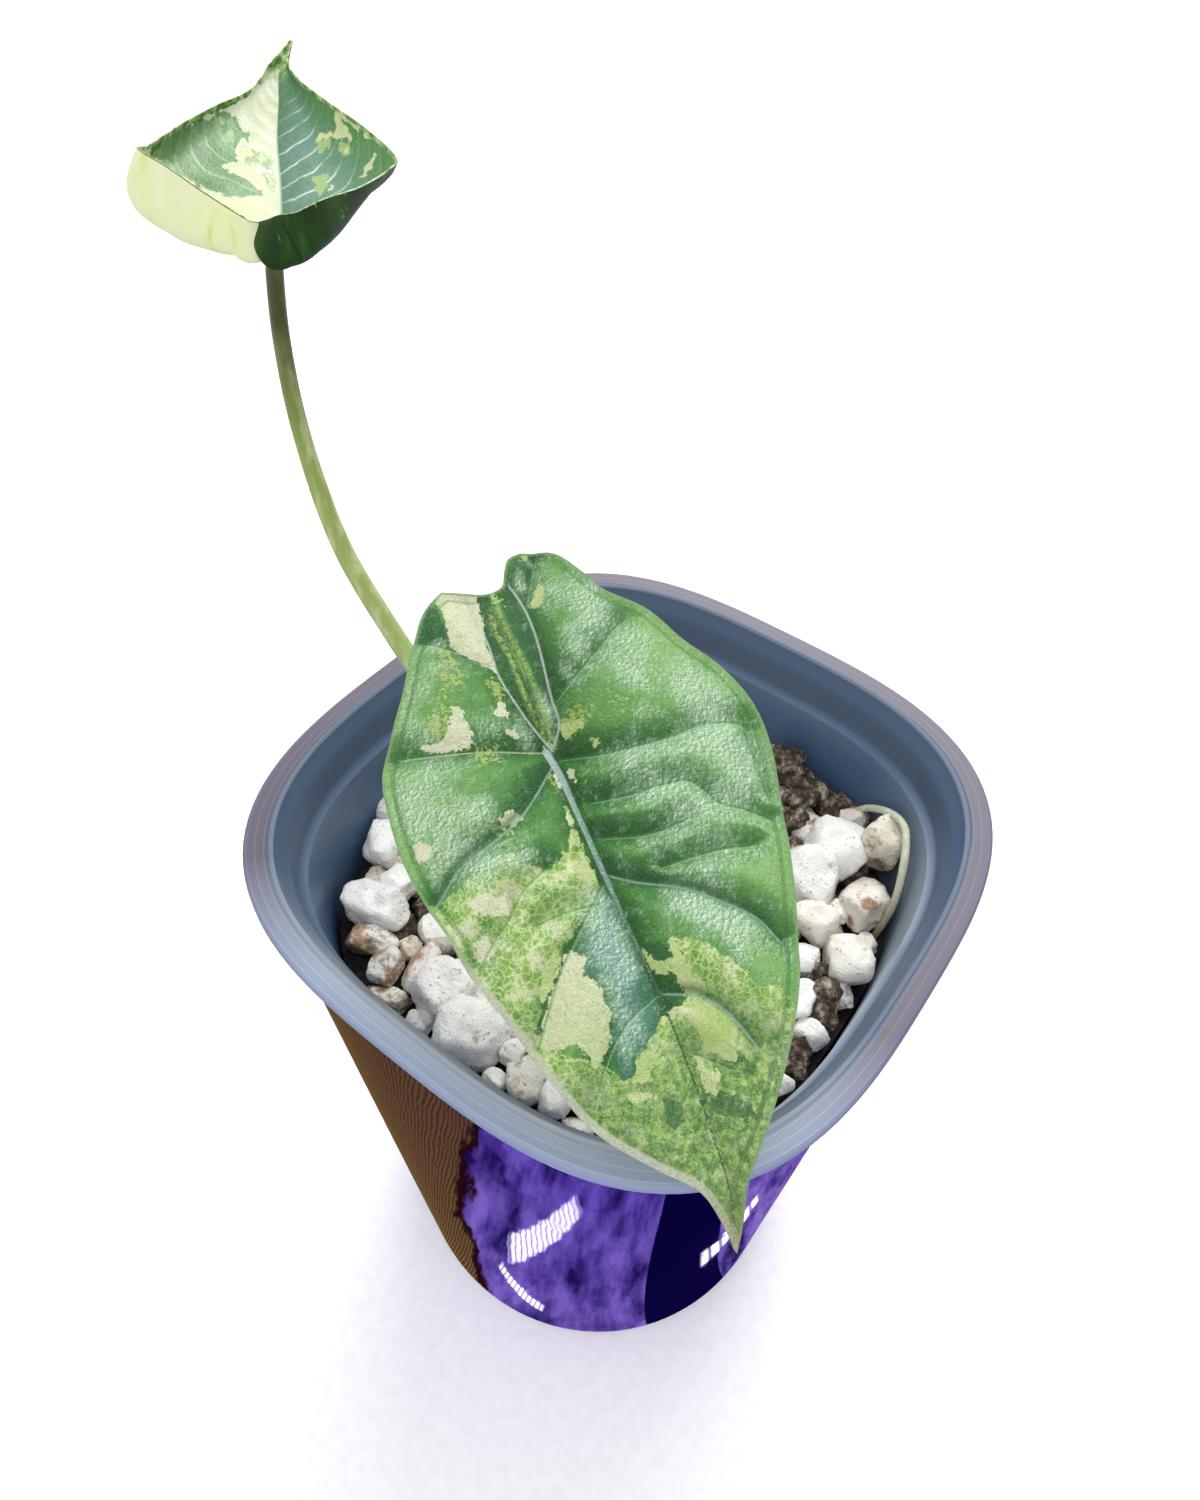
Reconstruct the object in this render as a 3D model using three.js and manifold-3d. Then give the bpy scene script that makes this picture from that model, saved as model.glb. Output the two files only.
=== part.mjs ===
// A young aroid in a square nursery liner, which hangs in a glossy cover pot.
// Millimetres, +Z up. The origin is the centre of the cover pot's foot, on the surface it
// stands on, and the pot's flat sides face along X and Y.
import * as THREE from 'three';
import { mergeVertices } from 'three/addons/utils/BufferGeometryUtils.js';
import Module from 'manifold-3d';

const wasm = await Module();
wasm.setup();

// Cover pot: round at the foot, a rounded square at the rim.
const COVER_FOOT_RADIUS = 41.8;
const COVER_RIM_HALF = 47.4;
const COVER_HEIGHT = 128.5;
const COVER_WALL = 1.3;
const COVER_FLOOR = 2;
const COVER_FOOT_ROUNDING = 1.2;

// Liner pot: a thin square pot that hangs by its rim on the cover pot's edge.
const RIM_TOP = 131;
const RIM_HALF = 50;
const RIM_BAND = 3.6;
const RIM_SKIRT = 2.2;
const LINER_WALL = 0.8;
const LINER_SHOULDER_HALF = 44.6;
const LINER_SHOULDER_DROP = 3;
const LINER_LEDGE_DROP = 8;
const LINER_THROAT_HALF = 43;
const LINER_FLOOR_HALF = 33.5;
const LINER_UNDERSIDE = 8;
const DRAIN_RADIUS = 3;
const DRAIN_RING_RADIUS = 20;
const DRAIN_COUNT = 4;

// How square a pot is: 2 is a circle, 3 a square with full, soft corners.
const ROUND = 2;
const SOFT_SQUARE = 3;

// Stones and bark: a bed with larger stones bedded in its top.
const GAP = 0.3;
const BED_MIDDLE = 103;
const BED_EDGE = 106.5;
const STONE_SMALLEST = 3.4;
const STONE_LARGEST = 6;
const STONE_SPACING = 0.7;
const STONE_TRIES = 4000;
const STONE_SEED = 11;

// Plant.
const CORM_CENTRE = new THREE.Vector3(-1, 0, 106);
const CORM_RADIUS = 5.5;
const LEAF_JUNCTION = new THREE.Vector3(-1.2, -16.5, 157.3);
const LEAF_HEADING = -30.4;
const LEAF_TIP_DROP = 15;
const LEAF_SIDE_LIFT = 7;
const LEAF_THICKNESS = 0.9;
const LEAF_ROWS = 28;
const LEAF_COLUMNS = 18;
const CUPPED_THICKNESS = 0.7;
const CUPPED_ROWS = 26;
const CUPPED_COLUMNS = 14;
const CUPPED_NOTCH_SHARE = 0.22;
const CUPPED_TIP_SHARE = 0.3;
const VEIN_DEPTH = 0.8;
const VEIN_REACH = 2.6;

// The front leaf's edges, seen from above in its own frame: X runs from the junction with
// the stalk to the tip, Y to the leaf's right side.
const LEAF_TOP_EDGE = [
  [-27.4, -5.8], [-27, -2.6], [-25.9, 0.5], [-26.5, 2.3], [-28.5, 3.4], [-30, 4.5], [-30.4, 6.4],
];
const LEAF_LEFT_EDGE = [
  [-27.4, -5.8], [-24.5, -9], [-20, -11.8], [-14, -14.6], [-8.5, -17.8], [-3.5, -20.5], [3, -21.3],
  [10, -21], [17, -19.3], [24, -17.7], [31, -15.3], [38, -13.1], [44, -10.3], [49, -6], [53, -2.2],
  [57, -1.1], [59.5, -0.8],
];
const LEAF_RIGHT_EDGE = [
  [-30.4, 6.4], [-28.9, 10], [-24, 12.7], [-20, 14.2], [-15, 18.7], [-9, 21.4], [-3.5, 24.8],
  [3, 26.7], [9, 26.2], [16, 24.2], [22, 22.4], [29, 19.9], [36, 17], [42.5, 12.8], [49, 7.3],
  [53.5, 3], [57, 0.9], [59.5, -0.8],
];

// Its sunken main veins, in the same frame.
const LEAF_VEINS = [
  [[-1, 0], [21, 0.7], [42, 1.4], [59, -0.6]],
  [[-1, 0.4], [-7, -1.5], [-18, -2.6], [-26, -3]],
  [[-1, 0.4], [-7.5, 2.6], [-18, 3.8], [-27, 4.6]],
  [[-6.9, 3.3], [-10, 8.1], [-14.2, 14.2]],
  [[0.5, 1.2], [2.8, 6.7], [3.4, 15], [4.2, 24]],
  [[7.8, 0.5], [9.2, 9], [11.5, 15.6], [17.2, 22.2]],
  [[17.4, 1], [21.9, 8.2], [25.5, 13], [31.4, 16.8]],
  [[32.3, 1.3], [36, 7.2], [41.4, 9.5]],
  [[-1.1, -0.4], [-2.2, -7], [-5.1, -17.6]],
  [[1.2, -0.5], [7, -6.2], [10, -13.6], [13.6, -19.2]],
  [[18.1, -0.4], [24, -6.4], [32.8, -13.5]],
  [[31.9, 1], [35, -5.1], [40.9, -10]],
];

// The cupped leaf's midrib and two edges, from the notch between its lobes to its tip.
const CUPPED_MIDRIB = [
  [-42, -14, 208], [-43, -13.5, 206], [-44.5, -12, 204], [-47.5, -9.5, 201.5], [-51, -6, 199.5],
  [-55, -2, 199], [-59.5, 2, 199.5], [-65.5, 7.5, 201], [-71, 12.5, 203.5], [-74.5, 16.5, 206],
  [-77, 19.5, 208.5], [-78.5, 23.5, 211],
];
const CUPPED_LEFT_EDGE = [
  [-42, -14, 208], [-42, -15.5, 208.5], [-44, -16, 209.3], [-49, -15.5, 209.7], [-57.5, -13.5, 209.3],
  [-66, -11.5, 207.8], [-71, -6, 207], [-75, 1.5, 206.5], [-77, 8.5, 206.5], [-77.2, 14.5, 207.2],
  [-78, 19, 208.7], [-78.5, 23.5, 211],
];
const CUPPED_RIGHT_EDGE = [
  [-42, -14, 208], [-39.5, -13.5, 209], [-38.5, -12, 209.5], [-38, -8.5, 209.7], [-39, -2.5, 209.3],
  [-41.5, 5, 208.3], [-48, 11, 207.5], [-57.5, 15.5, 207.3], [-66, 17.5, 207.7], [-72.5, 19, 208.3],
  [-76.5, 20.8, 209.2], [-78.5, 23.5, 211],
];
// How far each half bellies out between midrib and edge, as a share of its width.
const CUPPED_LEFT_BELLY = [0, 0.22, 0.26, 0.3, 0.34, 0.36, 0.28, 0.18, 0.12, 0.1, 0.05, 0];
const CUPPED_RIGHT_BELLY = [0, 0.22, 0.2, 0.15, 0.1, 0.07, 0.1, 0.12, 0.12, 0.1, 0.05, 0];

// Stalks and the root that has come up along the liner's wall.
const FRONT_STALK = [[-0.2, -2, 111.6], [1.4, -6.5, 124], [1.2, -12.5, 140], [-0.6, -16.1, 153.6]];
const FRONT_STALK_RADII = [2.2, 1.3];
const TALL_STALK = [
  [-5.7, -0.5, 109.6], [-15, -1.7, 117], [-27, -3.2, 128], [-35, -4.2, 136.5], [-41.8, -4.8, 145.4],
  [-48.9, -5.8, 158.4], [-52.5, -6.3, 175.6], [-52.8, -6.3, 189], [-51.6, -6.2, 198],
];
const TALL_STALK_RADII = [2, 0.95];
const ROOT = [
  [21, 36.4, 103], [22.6, 37.6, 109], [25.4, 37.2, 114.2], [30.6, 34.6, 119], [33.4, 32.2, 120.2],
  [35.2, 29.6, 119], [36.8, 26.4, 116], [37.8, 23.4, 112.5], [37.6, 21.8, 107.5], [37, 20.6, 103],
];
const ROOT_RADII = [0.65, 0.65];

const SHINY_PURPLE = new THREE.MeshStandardMaterial({ color: 0x4a2a9c, roughness: 0.08, metalness: 0.9 });
const MILKY_PLASTIC = new THREE.MeshStandardMaterial({ color: 0x7f8aa0, roughness: 0.3, metalness: 0 });
const PALE_STONE = new THREE.MeshStandardMaterial({ color: 0xd9d4c8, roughness: 0.95, metalness: 0 });
const CORM_BROWN = new THREE.MeshStandardMaterial({ color: 0x8a7a4e, roughness: 0.8, metalness: 0 });
const STALK_GREEN = new THREE.MeshStandardMaterial({ color: 0xa9bf6a, roughness: 0.5, metalness: 0 });
const LEAF_GREEN = new THREE.MeshStandardMaterial({ color: 0x4f8a4a, roughness: 0.4, metalness: 0 });
const PALE_LEAF_GREEN = new THREE.MeshStandardMaterial({ color: 0x86ab72, roughness: 0.45, metalness: 0 });
const ROOT_CREAM = new THREE.MeshStandardMaterial({ color: 0xd6d3ac, roughness: 0.6, metalness: 0 });

const group = new THREE.Group();

function place(name, geometry, material, parent = group) {
  const mesh = new THREE.Mesh(geometry, material);
  mesh.name = name;
  parent.add(mesh);
}

// The same random numbers on every run.
function seededRandom(seed) {
  let state = seed;
  return () => {
    state = (state * 1664525 + 1013904223) % 4294967296;
    return state / 4294967296;
  };
}

// Keeps only positions, joins shared corners and drops triangles that have shrunk to a line.
function closedGeometry(geometry) {
  geometry.deleteAttribute('normal');
  geometry.deleteAttribute('uv');
  const merged = mergeVertices(geometry, 1e-4);
  const index = merged.index.array;
  const kept = [];
  for (let i = 0; i < index.length; i += 3) {
    const [a, b, c] = [index[i], index[i + 1], index[i + 2]];
    if (a !== b && b !== c && c !== a) kept.push(a, b, c);
  }
  merged.setIndex(kept);
  merged.computeVertexNormals();
  return merged;
}

function toSolid(geometry) {
  const closed = closedGeometry(geometry);
  return new wasm.Manifold(new wasm.Mesh({
    numProp: 3,
    vertProperties: new Float32Array(closed.attributes.position.array),
    triVerts: new Uint32Array(closed.index.array),
  }));
}

function fromSolid(solid) {
  const mesh = solid.getMesh();
  const geometry = new THREE.BufferGeometry();
  geometry.setAttribute('position', new THREE.BufferAttribute(new Float32Array(mesh.vertProperties), 3));
  geometry.setIndex(Array.from(mesh.triVerts));
  geometry.computeVertexNormals();
  return geometry;
}

// Distance from the axis to a rounded square's edge, per unit of its half width.
function cornerFactor(cosine, sine, squareness) {
  const sum = Math.abs(cosine) ** squareness + Math.abs(sine) ** squareness;
  return 1 / sum ** (1 / squareness);
}

// Half width of the rounded square through a point.
function halfWidthAt(x, y, squareness) {
  return (Math.abs(x) ** squareness + Math.abs(y) ** squareness) ** (1 / squareness);
}

// A turned profile of [half width, height] points, with its rings pressed to rounded squares.
function squaredLathe(profile, segments, squarenessAt) {
  const points = profile.map(([half, height]) => new THREE.Vector2(half, height));
  const geometry = new THREE.LatheGeometry(points, segments);
  geometry.rotateX(Math.PI / 2);
  const position = geometry.attributes.position;
  for (let i = 0; i < position.count; i++) {
    const [x, y, z] = [position.getX(i), position.getY(i), position.getZ(i)];
    const radius = Math.hypot(x, y);
    if (radius < 1e-6) continue;
    const factor = cornerFactor(x / radius, y / radius, squarenessAt(z));
    position.setXYZ(i, x * factor, y * factor, z);
  }
  return geometry;
}

function coverSquareness(z) {
  return THREE.MathUtils.lerp(ROUND, SOFT_SQUARE, THREE.MathUtils.clamp(z / COVER_HEIGHT, 0, 1));
}

function coverPot() {
  const innerFoot = COVER_FOOT_RADIUS - COVER_WALL;
  const innerRim = COVER_RIM_HALF - COVER_WALL;
  const profile = [
    [0, 0],
    [COVER_FOOT_RADIUS - COVER_FOOT_ROUNDING, 0],
    [COVER_FOOT_RADIUS - 0.3 * COVER_FOOT_ROUNDING, 0.3 * COVER_FOOT_ROUNDING],
    [COVER_FOOT_RADIUS, COVER_FOOT_ROUNDING],
    [THREE.MathUtils.lerp(COVER_FOOT_RADIUS, COVER_RIM_HALF, 0.5), COVER_HEIGHT / 2],
    [COVER_RIM_HALF, COVER_HEIGHT - 0.4],
    [COVER_RIM_HALF - 0.4, COVER_HEIGHT],
    [innerRim + 0.4, COVER_HEIGHT],
    [innerRim, COVER_HEIGHT - 0.4],
    [THREE.MathUtils.lerp(innerFoot, innerRim, 0.5), COVER_HEIGHT / 2],
    [innerFoot, COVER_FLOOR],
    [0, COVER_FLOOR],
  ];
  return closedGeometry(squaredLathe(profile, 56, coverSquareness));
}

// The liner's inner half width at a height below its ledge.
function linerInnerHalf(z) {
  const floor = LINER_UNDERSIDE + LINER_WALL;
  const ledge = RIM_TOP - LINER_LEDGE_DROP - LINER_WALL;
  const share = THREE.MathUtils.clamp((z - floor) / (ledge - floor), 0, 1);
  return THREE.MathUtils.lerp(LINER_FLOOR_HALF, LINER_THROAT_HALF, share);
}

function linerPot() {
  const ledge = RIM_TOP - LINER_LEDGE_DROP;
  const shoulder = RIM_TOP - LINER_SHOULDER_DROP;
  const underRim = RIM_TOP - RIM_SKIRT;
  const profile = [
    [0, LINER_UNDERSIDE],
    [LINER_FLOOR_HALF + LINER_WALL, LINER_UNDERSIDE],
    [LINER_THROAT_HALF + LINER_WALL, ledge - 2 * LINER_WALL],
    [LINER_SHOULDER_HALF - 0.4 + LINER_WALL, ledge - LINER_WALL],
    [LINER_SHOULDER_HALF + LINER_WALL, shoulder],
    [LINER_SHOULDER_HALF + LINER_WALL + 0.4, underRim],
    [RIM_HALF - 0.3, underRim],
    [RIM_HALF, underRim + 0.5],
    [RIM_HALF, RIM_TOP - 0.6],
    [RIM_HALF - 0.6, RIM_TOP],
    [RIM_HALF - RIM_BAND, RIM_TOP],
    [LINER_SHOULDER_HALF, shoulder],
    [LINER_SHOULDER_HALF - 0.4, ledge],
    [LINER_THROAT_HALF, ledge - LINER_WALL],
    [LINER_FLOOR_HALF, LINER_UNDERSIDE + LINER_WALL],
    [0, LINER_UNDERSIDE + LINER_WALL],
  ];
  let pot = toSolid(squaredLathe(profile, 56, () => SOFT_SQUARE));
  for (let i = 0; i < DRAIN_COUNT; i++) {
    const angle = (i + 0.5) * 2 * Math.PI / DRAIN_COUNT;
    const drill = new THREE.CylinderGeometry(DRAIN_RADIUS, DRAIN_RADIUS, 6 * LINER_WALL, 12);
    drill.rotateX(Math.PI / 2);
    drill.translate(
      DRAIN_RING_RADIUS * Math.cos(angle), DRAIN_RING_RADIUS * Math.sin(angle), LINER_UNDERSIDE,
    );
    pot = pot.subtract(toSolid(drill));
  }
  return fromSolid(pot);
}

// A stem along a smooth line, round in section, from one radius to the other, with flat ends.
function stem(points, radii, sides, steps) {
  const curve = new THREE.CatmullRomCurve3(points.map((point) => new THREE.Vector3(...point)));
  const disc = new THREE.Shape().absarc(0, 0, 1, 0, 2 * Math.PI);
  const geometry = new THREE.ExtrudeGeometry(disc, {
    steps, curveSegments: sides / 2, bevelEnabled: false, extrudePath: curve,
  });
  const samples = curve.getSpacedPoints(steps);
  const position = geometry.attributes.position;
  const vertex = new THREE.Vector3();
  for (let i = 0; i < position.count; i++) {
    vertex.fromBufferAttribute(position, i);
    const distances = samples.map((sample) => sample.distanceTo(vertex));
    const nearest = distances.indexOf(Math.min(...distances));
    const radius = THREE.MathUtils.lerp(radii[0], radii[1], nearest / steps);
    vertex.sub(samples[nearest]).multiplyScalar(radius).add(samples[nearest]);
    position.setXYZ(i, vertex.x, vertex.y, vertex.z);
  }
  return geometry;
}

function corm() {
  const geometry = new THREE.SphereGeometry(CORM_RADIUS, 16, 10);
  geometry.rotateX(Math.PI / 2);
  geometry.translate(...CORM_CENTRE);
  return closedGeometry(geometry);
}

// A rough stone: twenty faces, each corner pushed in or out a little.
function stone(random, size, centre) {
  const closed = closedGeometry(new THREE.IcosahedronGeometry(1));
  const position = closed.attributes.position;
  const spread = new THREE.Vector3(0.9 + 0.35 * random(), 0.85 + 0.2 * random(), 0.75 + 0.2 * random());
  for (let i = 0; i < position.count; i++) {
    const push = 0.85 + 0.3 * random();
    position.setXYZ(
      i, position.getX(i) * push * spread.x, position.getY(i) * push * spread.y,
      position.getZ(i) * push * spread.z,
    );
  }
  closed.scale(size, size, size);
  closed.rotateZ(2 * Math.PI * random());
  closed.translate(centre.x, centre.y, centre.z);
  return closed;
}

// Places for the stones: thrown at random, and kept where they clear the wall and each other.
function stonePlaces(random) {
  const places = [];
  for (let i = 0; i < STONE_TRIES; i++) {
    const size = THREE.MathUtils.lerp(STONE_SMALLEST, STONE_LARGEST, random());
    const x = (2 * random() - 1) * LINER_THROAT_HALF;
    const y = (2 * random() - 1) * LINER_THROAT_HALF;
    const half = halfWidthAt(x, y, SOFT_SQUARE);
    const rise = THREE.MathUtils.lerp(0, BED_EDGE - BED_MIDDLE, (half / LINER_THROAT_HALF) ** 2);
    const centre = new THREE.Vector3(x, y, BED_MIDDLE + rise + 1.5 * random());
    const clear = places.every((other) => other.centre.distanceTo(centre) > STONE_SPACING * (other.size + size));
    if (clear && half + 1.2 * size < linerInnerHalf(BED_MIDDLE) - GAP) places.push({ size, centre });
  }
  return places;
}

function pottingMix() {
  const floor = LINER_UNDERSIDE + LINER_WALL + GAP;
  const profile = [
    [0, floor],
    [linerInnerHalf(floor) - GAP, floor],
    [linerInnerHalf(BED_EDGE) - GAP, BED_EDGE],
    [0.8 * LINER_THROAT_HALF, BED_EDGE - 1],
    [0.5 * LINER_THROAT_HALF, BED_MIDDLE + 0.6],
    [0, BED_MIDDLE],
  ];
  let mix = toSolid(squaredLathe(profile, 40, () => SOFT_SQUARE));
  const random = seededRandom(STONE_SEED);
  for (const { size, centre } of stonePlaces(random)) {
    mix = mix.add(toSolid(stone(random, size, centre)));
  }
  const well = new THREE.CylinderGeometry(CORM_RADIUS + GAP, CORM_RADIUS + GAP, 4 * CORM_RADIUS, 16);
  well.rotateX(Math.PI / 2);
  well.translate(CORM_CENTRE.x, CORM_CENTRE.y, CORM_CENTRE.z + CORM_RADIUS - GAP);
  mix = mix.subtract(toSolid(well));
  const stemHoles = [[FRONT_STALK, FRONT_STALK_RADII], [TALL_STALK, TALL_STALK_RADII], [ROOT, ROOT_RADII]];
  for (const [points, radii] of stemHoles) {
    const wide = radii.map((radius) => radius + 1.5 * GAP);
    mix = mix.subtract(toSolid(stem(points, wide, 8, 24)));
  }
  return fromSolid(mix);
}

// A leaf blade: surface(row, column) gives its upper face, both running from 0 to 1, and
// below(row, column) the matching point of its lower face.
function blade(rows, columns, surface, below) {
  const positions = [];
  for (const face of [surface, below]) {
    for (let i = 0; i <= rows; i++) {
      for (let j = 0; j <= columns; j++) positions.push(...face(i / rows, j / columns));
    }
  }
  const index = [];
  const lower = (rows + 1) * (columns + 1);
  const corner = (i, j) => i * (columns + 1) + j;
  const quad = (a, b, c, d) => index.push(a, b, c, a, c, d);
  for (let i = 0; i < rows; i++) {
    for (let j = 0; j < columns; j++) {
      const [a, b, c, d] = [corner(i, j), corner(i + 1, j), corner(i + 1, j + 1), corner(i, j + 1)];
      quad(a, b, c, d);
      quad(lower + a, lower + d, lower + c, lower + b);
    }
  }
  for (let i = 0; i < rows; i++) {
    const [a, b] = [corner(i, 0), corner(i + 1, 0)];
    quad(a, lower + a, lower + b, b);
    const [c, d] = [corner(i, columns), corner(i + 1, columns)];
    quad(c, d, lower + d, lower + c);
  }
  for (let j = 0; j < columns; j++) {
    const [a, b] = [corner(0, j), corner(0, j + 1)];
    quad(a, b, lower + b, lower + a);
    const [c, d] = [corner(rows, j), corner(rows, j + 1)];
    quad(c, lower + c, lower + d, d);
  }
  const geometry = new THREE.BufferGeometry();
  geometry.setAttribute('position', new THREE.Float32BufferAttribute(positions, 3));
  geometry.setIndex(index);
  return closedGeometry(geometry);
}

function planeCurve(points) {
  return new THREE.SplineCurve(points.map((point) => new THREE.Vector2(...point)));
}

function distanceToVeins(point) {
  let nearest = Infinity;
  for (const vein of LEAF_VEINS) {
    for (let i = 0; i + 1 < vein.length; i++) {
      const start = new THREE.Vector2(...vein[i]);
      const along = new THREE.Vector2(...vein[i + 1]).sub(start);
      const share = point.clone().sub(start).dot(along) / along.lengthSq();
      const foot = start.addScaledVector(along, THREE.MathUtils.clamp(share, 0, 1));
      nearest = Math.min(nearest, foot.distanceTo(point));
    }
  }
  return nearest;
}

// The front leaf's height over its own plane: two low shoulders beside the midrib, edges
// that droop, a dimple over the stalk, and panels that swell between the veins.
function leafHeight(u, v) {
  const toTip = THREE.MathUtils.clamp(1 - Math.max(u, 0) / 62, 0, 1) ** 0.7;
  const shoulders = 2.6 * (1 - Math.exp(-((Math.abs(v) / 5) ** 1.5))) * toTip;
  const droop = -0.0062 * v * v;
  const arch = (u > 0 ? -0.0016 : -0.004) * u * u;
  const dimple = -2 * Math.exp(-(u * u + v * v) / 60);
  const vein = distanceToVeins(new THREE.Vector2(u, v)) / VEIN_REACH;
  const panels = VEIN_DEPTH * (0.5 - Math.exp(-vein * vein));
  return shoulders + droop + arch + dimple + panels;
}

// The blade is drawn across from edge to edge, and its first row follows the lobes' top edge.
function frontLeaf() {
  const top = planeCurve(LEAF_TOP_EDGE);
  const left = planeCurve(LEAF_LEFT_EDGE);
  const right = planeCurve(LEAF_RIGHT_EDGE);
  const outline = (row, column) => {
    const point = left.getPointAt(row).lerp(right.getPointAt(row), column);
    const straight = left.getPointAt(0).lerp(right.getPointAt(0), column);
    const fade = (1 - row) ** 4;
    return point.add(top.getPointAt(column).sub(straight).multiplyScalar(fade));
  };
  const face = (drop) => (row, column) => {
    const { x, y } = outline(row, column);
    return [x, y, leafHeight(x, y) - drop];
  };
  return blade(LEAF_ROWS, LEAF_COLUMNS, face(0), face(LEAF_THICKNESS));
}

function spaceCurve(points) {
  return new THREE.CatmullRomCurve3(points.map((point) => new THREE.Vector3(...point)));
}

function shareAlong(values, share) {
  const place = share * (values.length - 1);
  const index = Math.min(Math.floor(place), values.length - 2);
  return THREE.MathUtils.lerp(values[index], values[index + 1], place - index);
}

// The cupped leaf: each half hangs between the midrib and its edge, and bellies outwards.
function cuppedLeaf() {
  const midrib = spaceCurve(CUPPED_MIDRIB);
  const left = spaceCurve(CUPPED_LEFT_EDGE);
  const right = spaceCurve(CUPPED_RIGHT_EDGE);
  const surface = (row, column) => {
    const side = 1 - 2 * column;
    const out = Math.abs(side);
    const rib = midrib.getPoint(row);
    const chord = (side < 0 ? left : right).getPoint(row).sub(rib);
    const along = midrib.getTangent(row);
    const outward = (side < 0 ? chord.clone().cross(along) : along.clone().cross(chord)).normalize();
    const belly = shareAlong(side < 0 ? CUPPED_LEFT_BELLY : CUPPED_RIGHT_BELLY, row);
    const swell = 6.75 * out * out * (1 - out) * belly * chord.length();
    return rib.addScaledVector(chord, out).addScaledVector(outward, swell);
  };
  const step = 0.01;
  const normal = (row, column) => {
    const inset = THREE.MathUtils.clamp(row, 2 * step, 1 - 2 * step);
    const across = surface(inset, Math.min(column + step, 1)).sub(surface(inset, Math.max(column - step, 0)));
    const along = surface(inset + step, column).sub(surface(inset - step, column));
    return along.cross(across).normalize();
  };
  // Near both narrow ends the whole row takes its thickness the same way as the midrib.
  const below = (row, column) => {
    const narrow = Math.max(1 - row / CUPPED_NOTCH_SHARE, 1 - (1 - row) / CUPPED_TIP_SHARE, 0);
    const down = normal(row, column).lerp(normal(row, 0.5), Math.min(1.5 * narrow, 1)).normalize();
    return surface(row, column).addScaledVector(down, -CUPPED_THICKNESS);
  };
  return blade(CUPPED_ROWS, CUPPED_COLUMNS, surface, below);
}

place('cover_pot', coverPot(), SHINY_PURPLE);
place('liner_pot', linerPot(), MILKY_PLASTIC);
place('potting_mix', pottingMix(), PALE_STONE);
place('corm', corm(), CORM_BROWN);
place('front_stalk', closedGeometry(stem(FRONT_STALK, FRONT_STALK_RADII, 10, 20)), STALK_GREEN);
place('tall_stalk', closedGeometry(stem(TALL_STALK, TALL_STALK_RADII, 10, 36)), STALK_GREEN);
place('surface_root', closedGeometry(stem(ROOT, ROOT_RADII, 8, 24)), ROOT_CREAM);

const leafStand = new THREE.Group();
leafStand.position.copy(LEAF_JUNCTION);
leafStand.rotation.set(
  THREE.MathUtils.degToRad(LEAF_SIDE_LIFT),
  THREE.MathUtils.degToRad(LEAF_TIP_DROP),
  THREE.MathUtils.degToRad(LEAF_HEADING),
  'ZYX',
);
group.add(leafStand);
place('front_leaf', frontLeaf(), LEAF_GREEN, leafStand);
place('cupped_leaf', cuppedLeaf(), PALE_LEAF_GREEN);

export default group;
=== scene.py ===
# %% [markdown]
# # A young variegated aroid in its two pots
#
# This lesson dresses one potted plant: a glossy purple cover pot, a milky square liner pot
# that hangs in it, a bed of pumice and bark, and two leaves on their stalks. The plain
# solids come from the frame, already at their real size. Each step looks at one piece of
# the real plant, asks how it could be made, and then makes it.
#
# The frame is loaded first, because every piece stands where a solid of the frame stands.

# %% Load the frame
import math
from functools import partial

import bpy
import numpy as np
from mathutils import Euler, Matrix, Vector, noise


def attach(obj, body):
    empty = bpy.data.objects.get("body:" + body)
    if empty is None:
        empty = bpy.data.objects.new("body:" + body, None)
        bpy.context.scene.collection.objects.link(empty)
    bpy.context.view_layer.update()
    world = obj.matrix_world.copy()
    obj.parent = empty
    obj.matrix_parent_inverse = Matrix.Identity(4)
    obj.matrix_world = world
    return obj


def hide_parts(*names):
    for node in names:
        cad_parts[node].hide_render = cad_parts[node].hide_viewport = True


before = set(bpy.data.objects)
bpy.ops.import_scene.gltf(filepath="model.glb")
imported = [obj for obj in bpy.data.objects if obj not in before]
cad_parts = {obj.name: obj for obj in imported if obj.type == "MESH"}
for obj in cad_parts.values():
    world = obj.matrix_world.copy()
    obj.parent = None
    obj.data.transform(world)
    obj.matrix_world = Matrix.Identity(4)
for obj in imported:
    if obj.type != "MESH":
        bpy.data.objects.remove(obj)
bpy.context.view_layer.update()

ROOT_BODY = "root"
print("solids:", sorted(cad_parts))

# %% [markdown]
# ## Units, colours and nodes
#
# Blender works in metres, and plants and pots are easier to think of in millimetres, so one
# function turns a mesh's millimetres to metres at the very end. Colours are picked as on a
# screen, as hex values, and Blender wants linear light, so one function turns them. A
# material is a net of nodes, and one small function that adds a node with its settings and
# its links keeps such a net readable. Each new material comes with that function, ready to
# add to its own net. A link may name a node, and then starts at the node's first output.

# %% Units and colours
MM = 0.001
PER_MM = 1000.0


def linear(hex_colour):
    """A screen colour such as "#88aa66" as linear red, green, blue and alpha."""
    channels = [int(hex_colour[i:i + 2], 16) / 255 for i in (1, 3, 5)]
    light = [c / 12.92 if c <= 0.04045 else ((c + 0.055) / 1.055) ** 2.4 for c in channels]
    return (*light, 1.0)


# %% Nodes
# The inputs and the output of a Mix node that are for colours, by number.
FACTOR, FIRST, SECOND, MIXED = 0, 6, 7, 2


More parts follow.
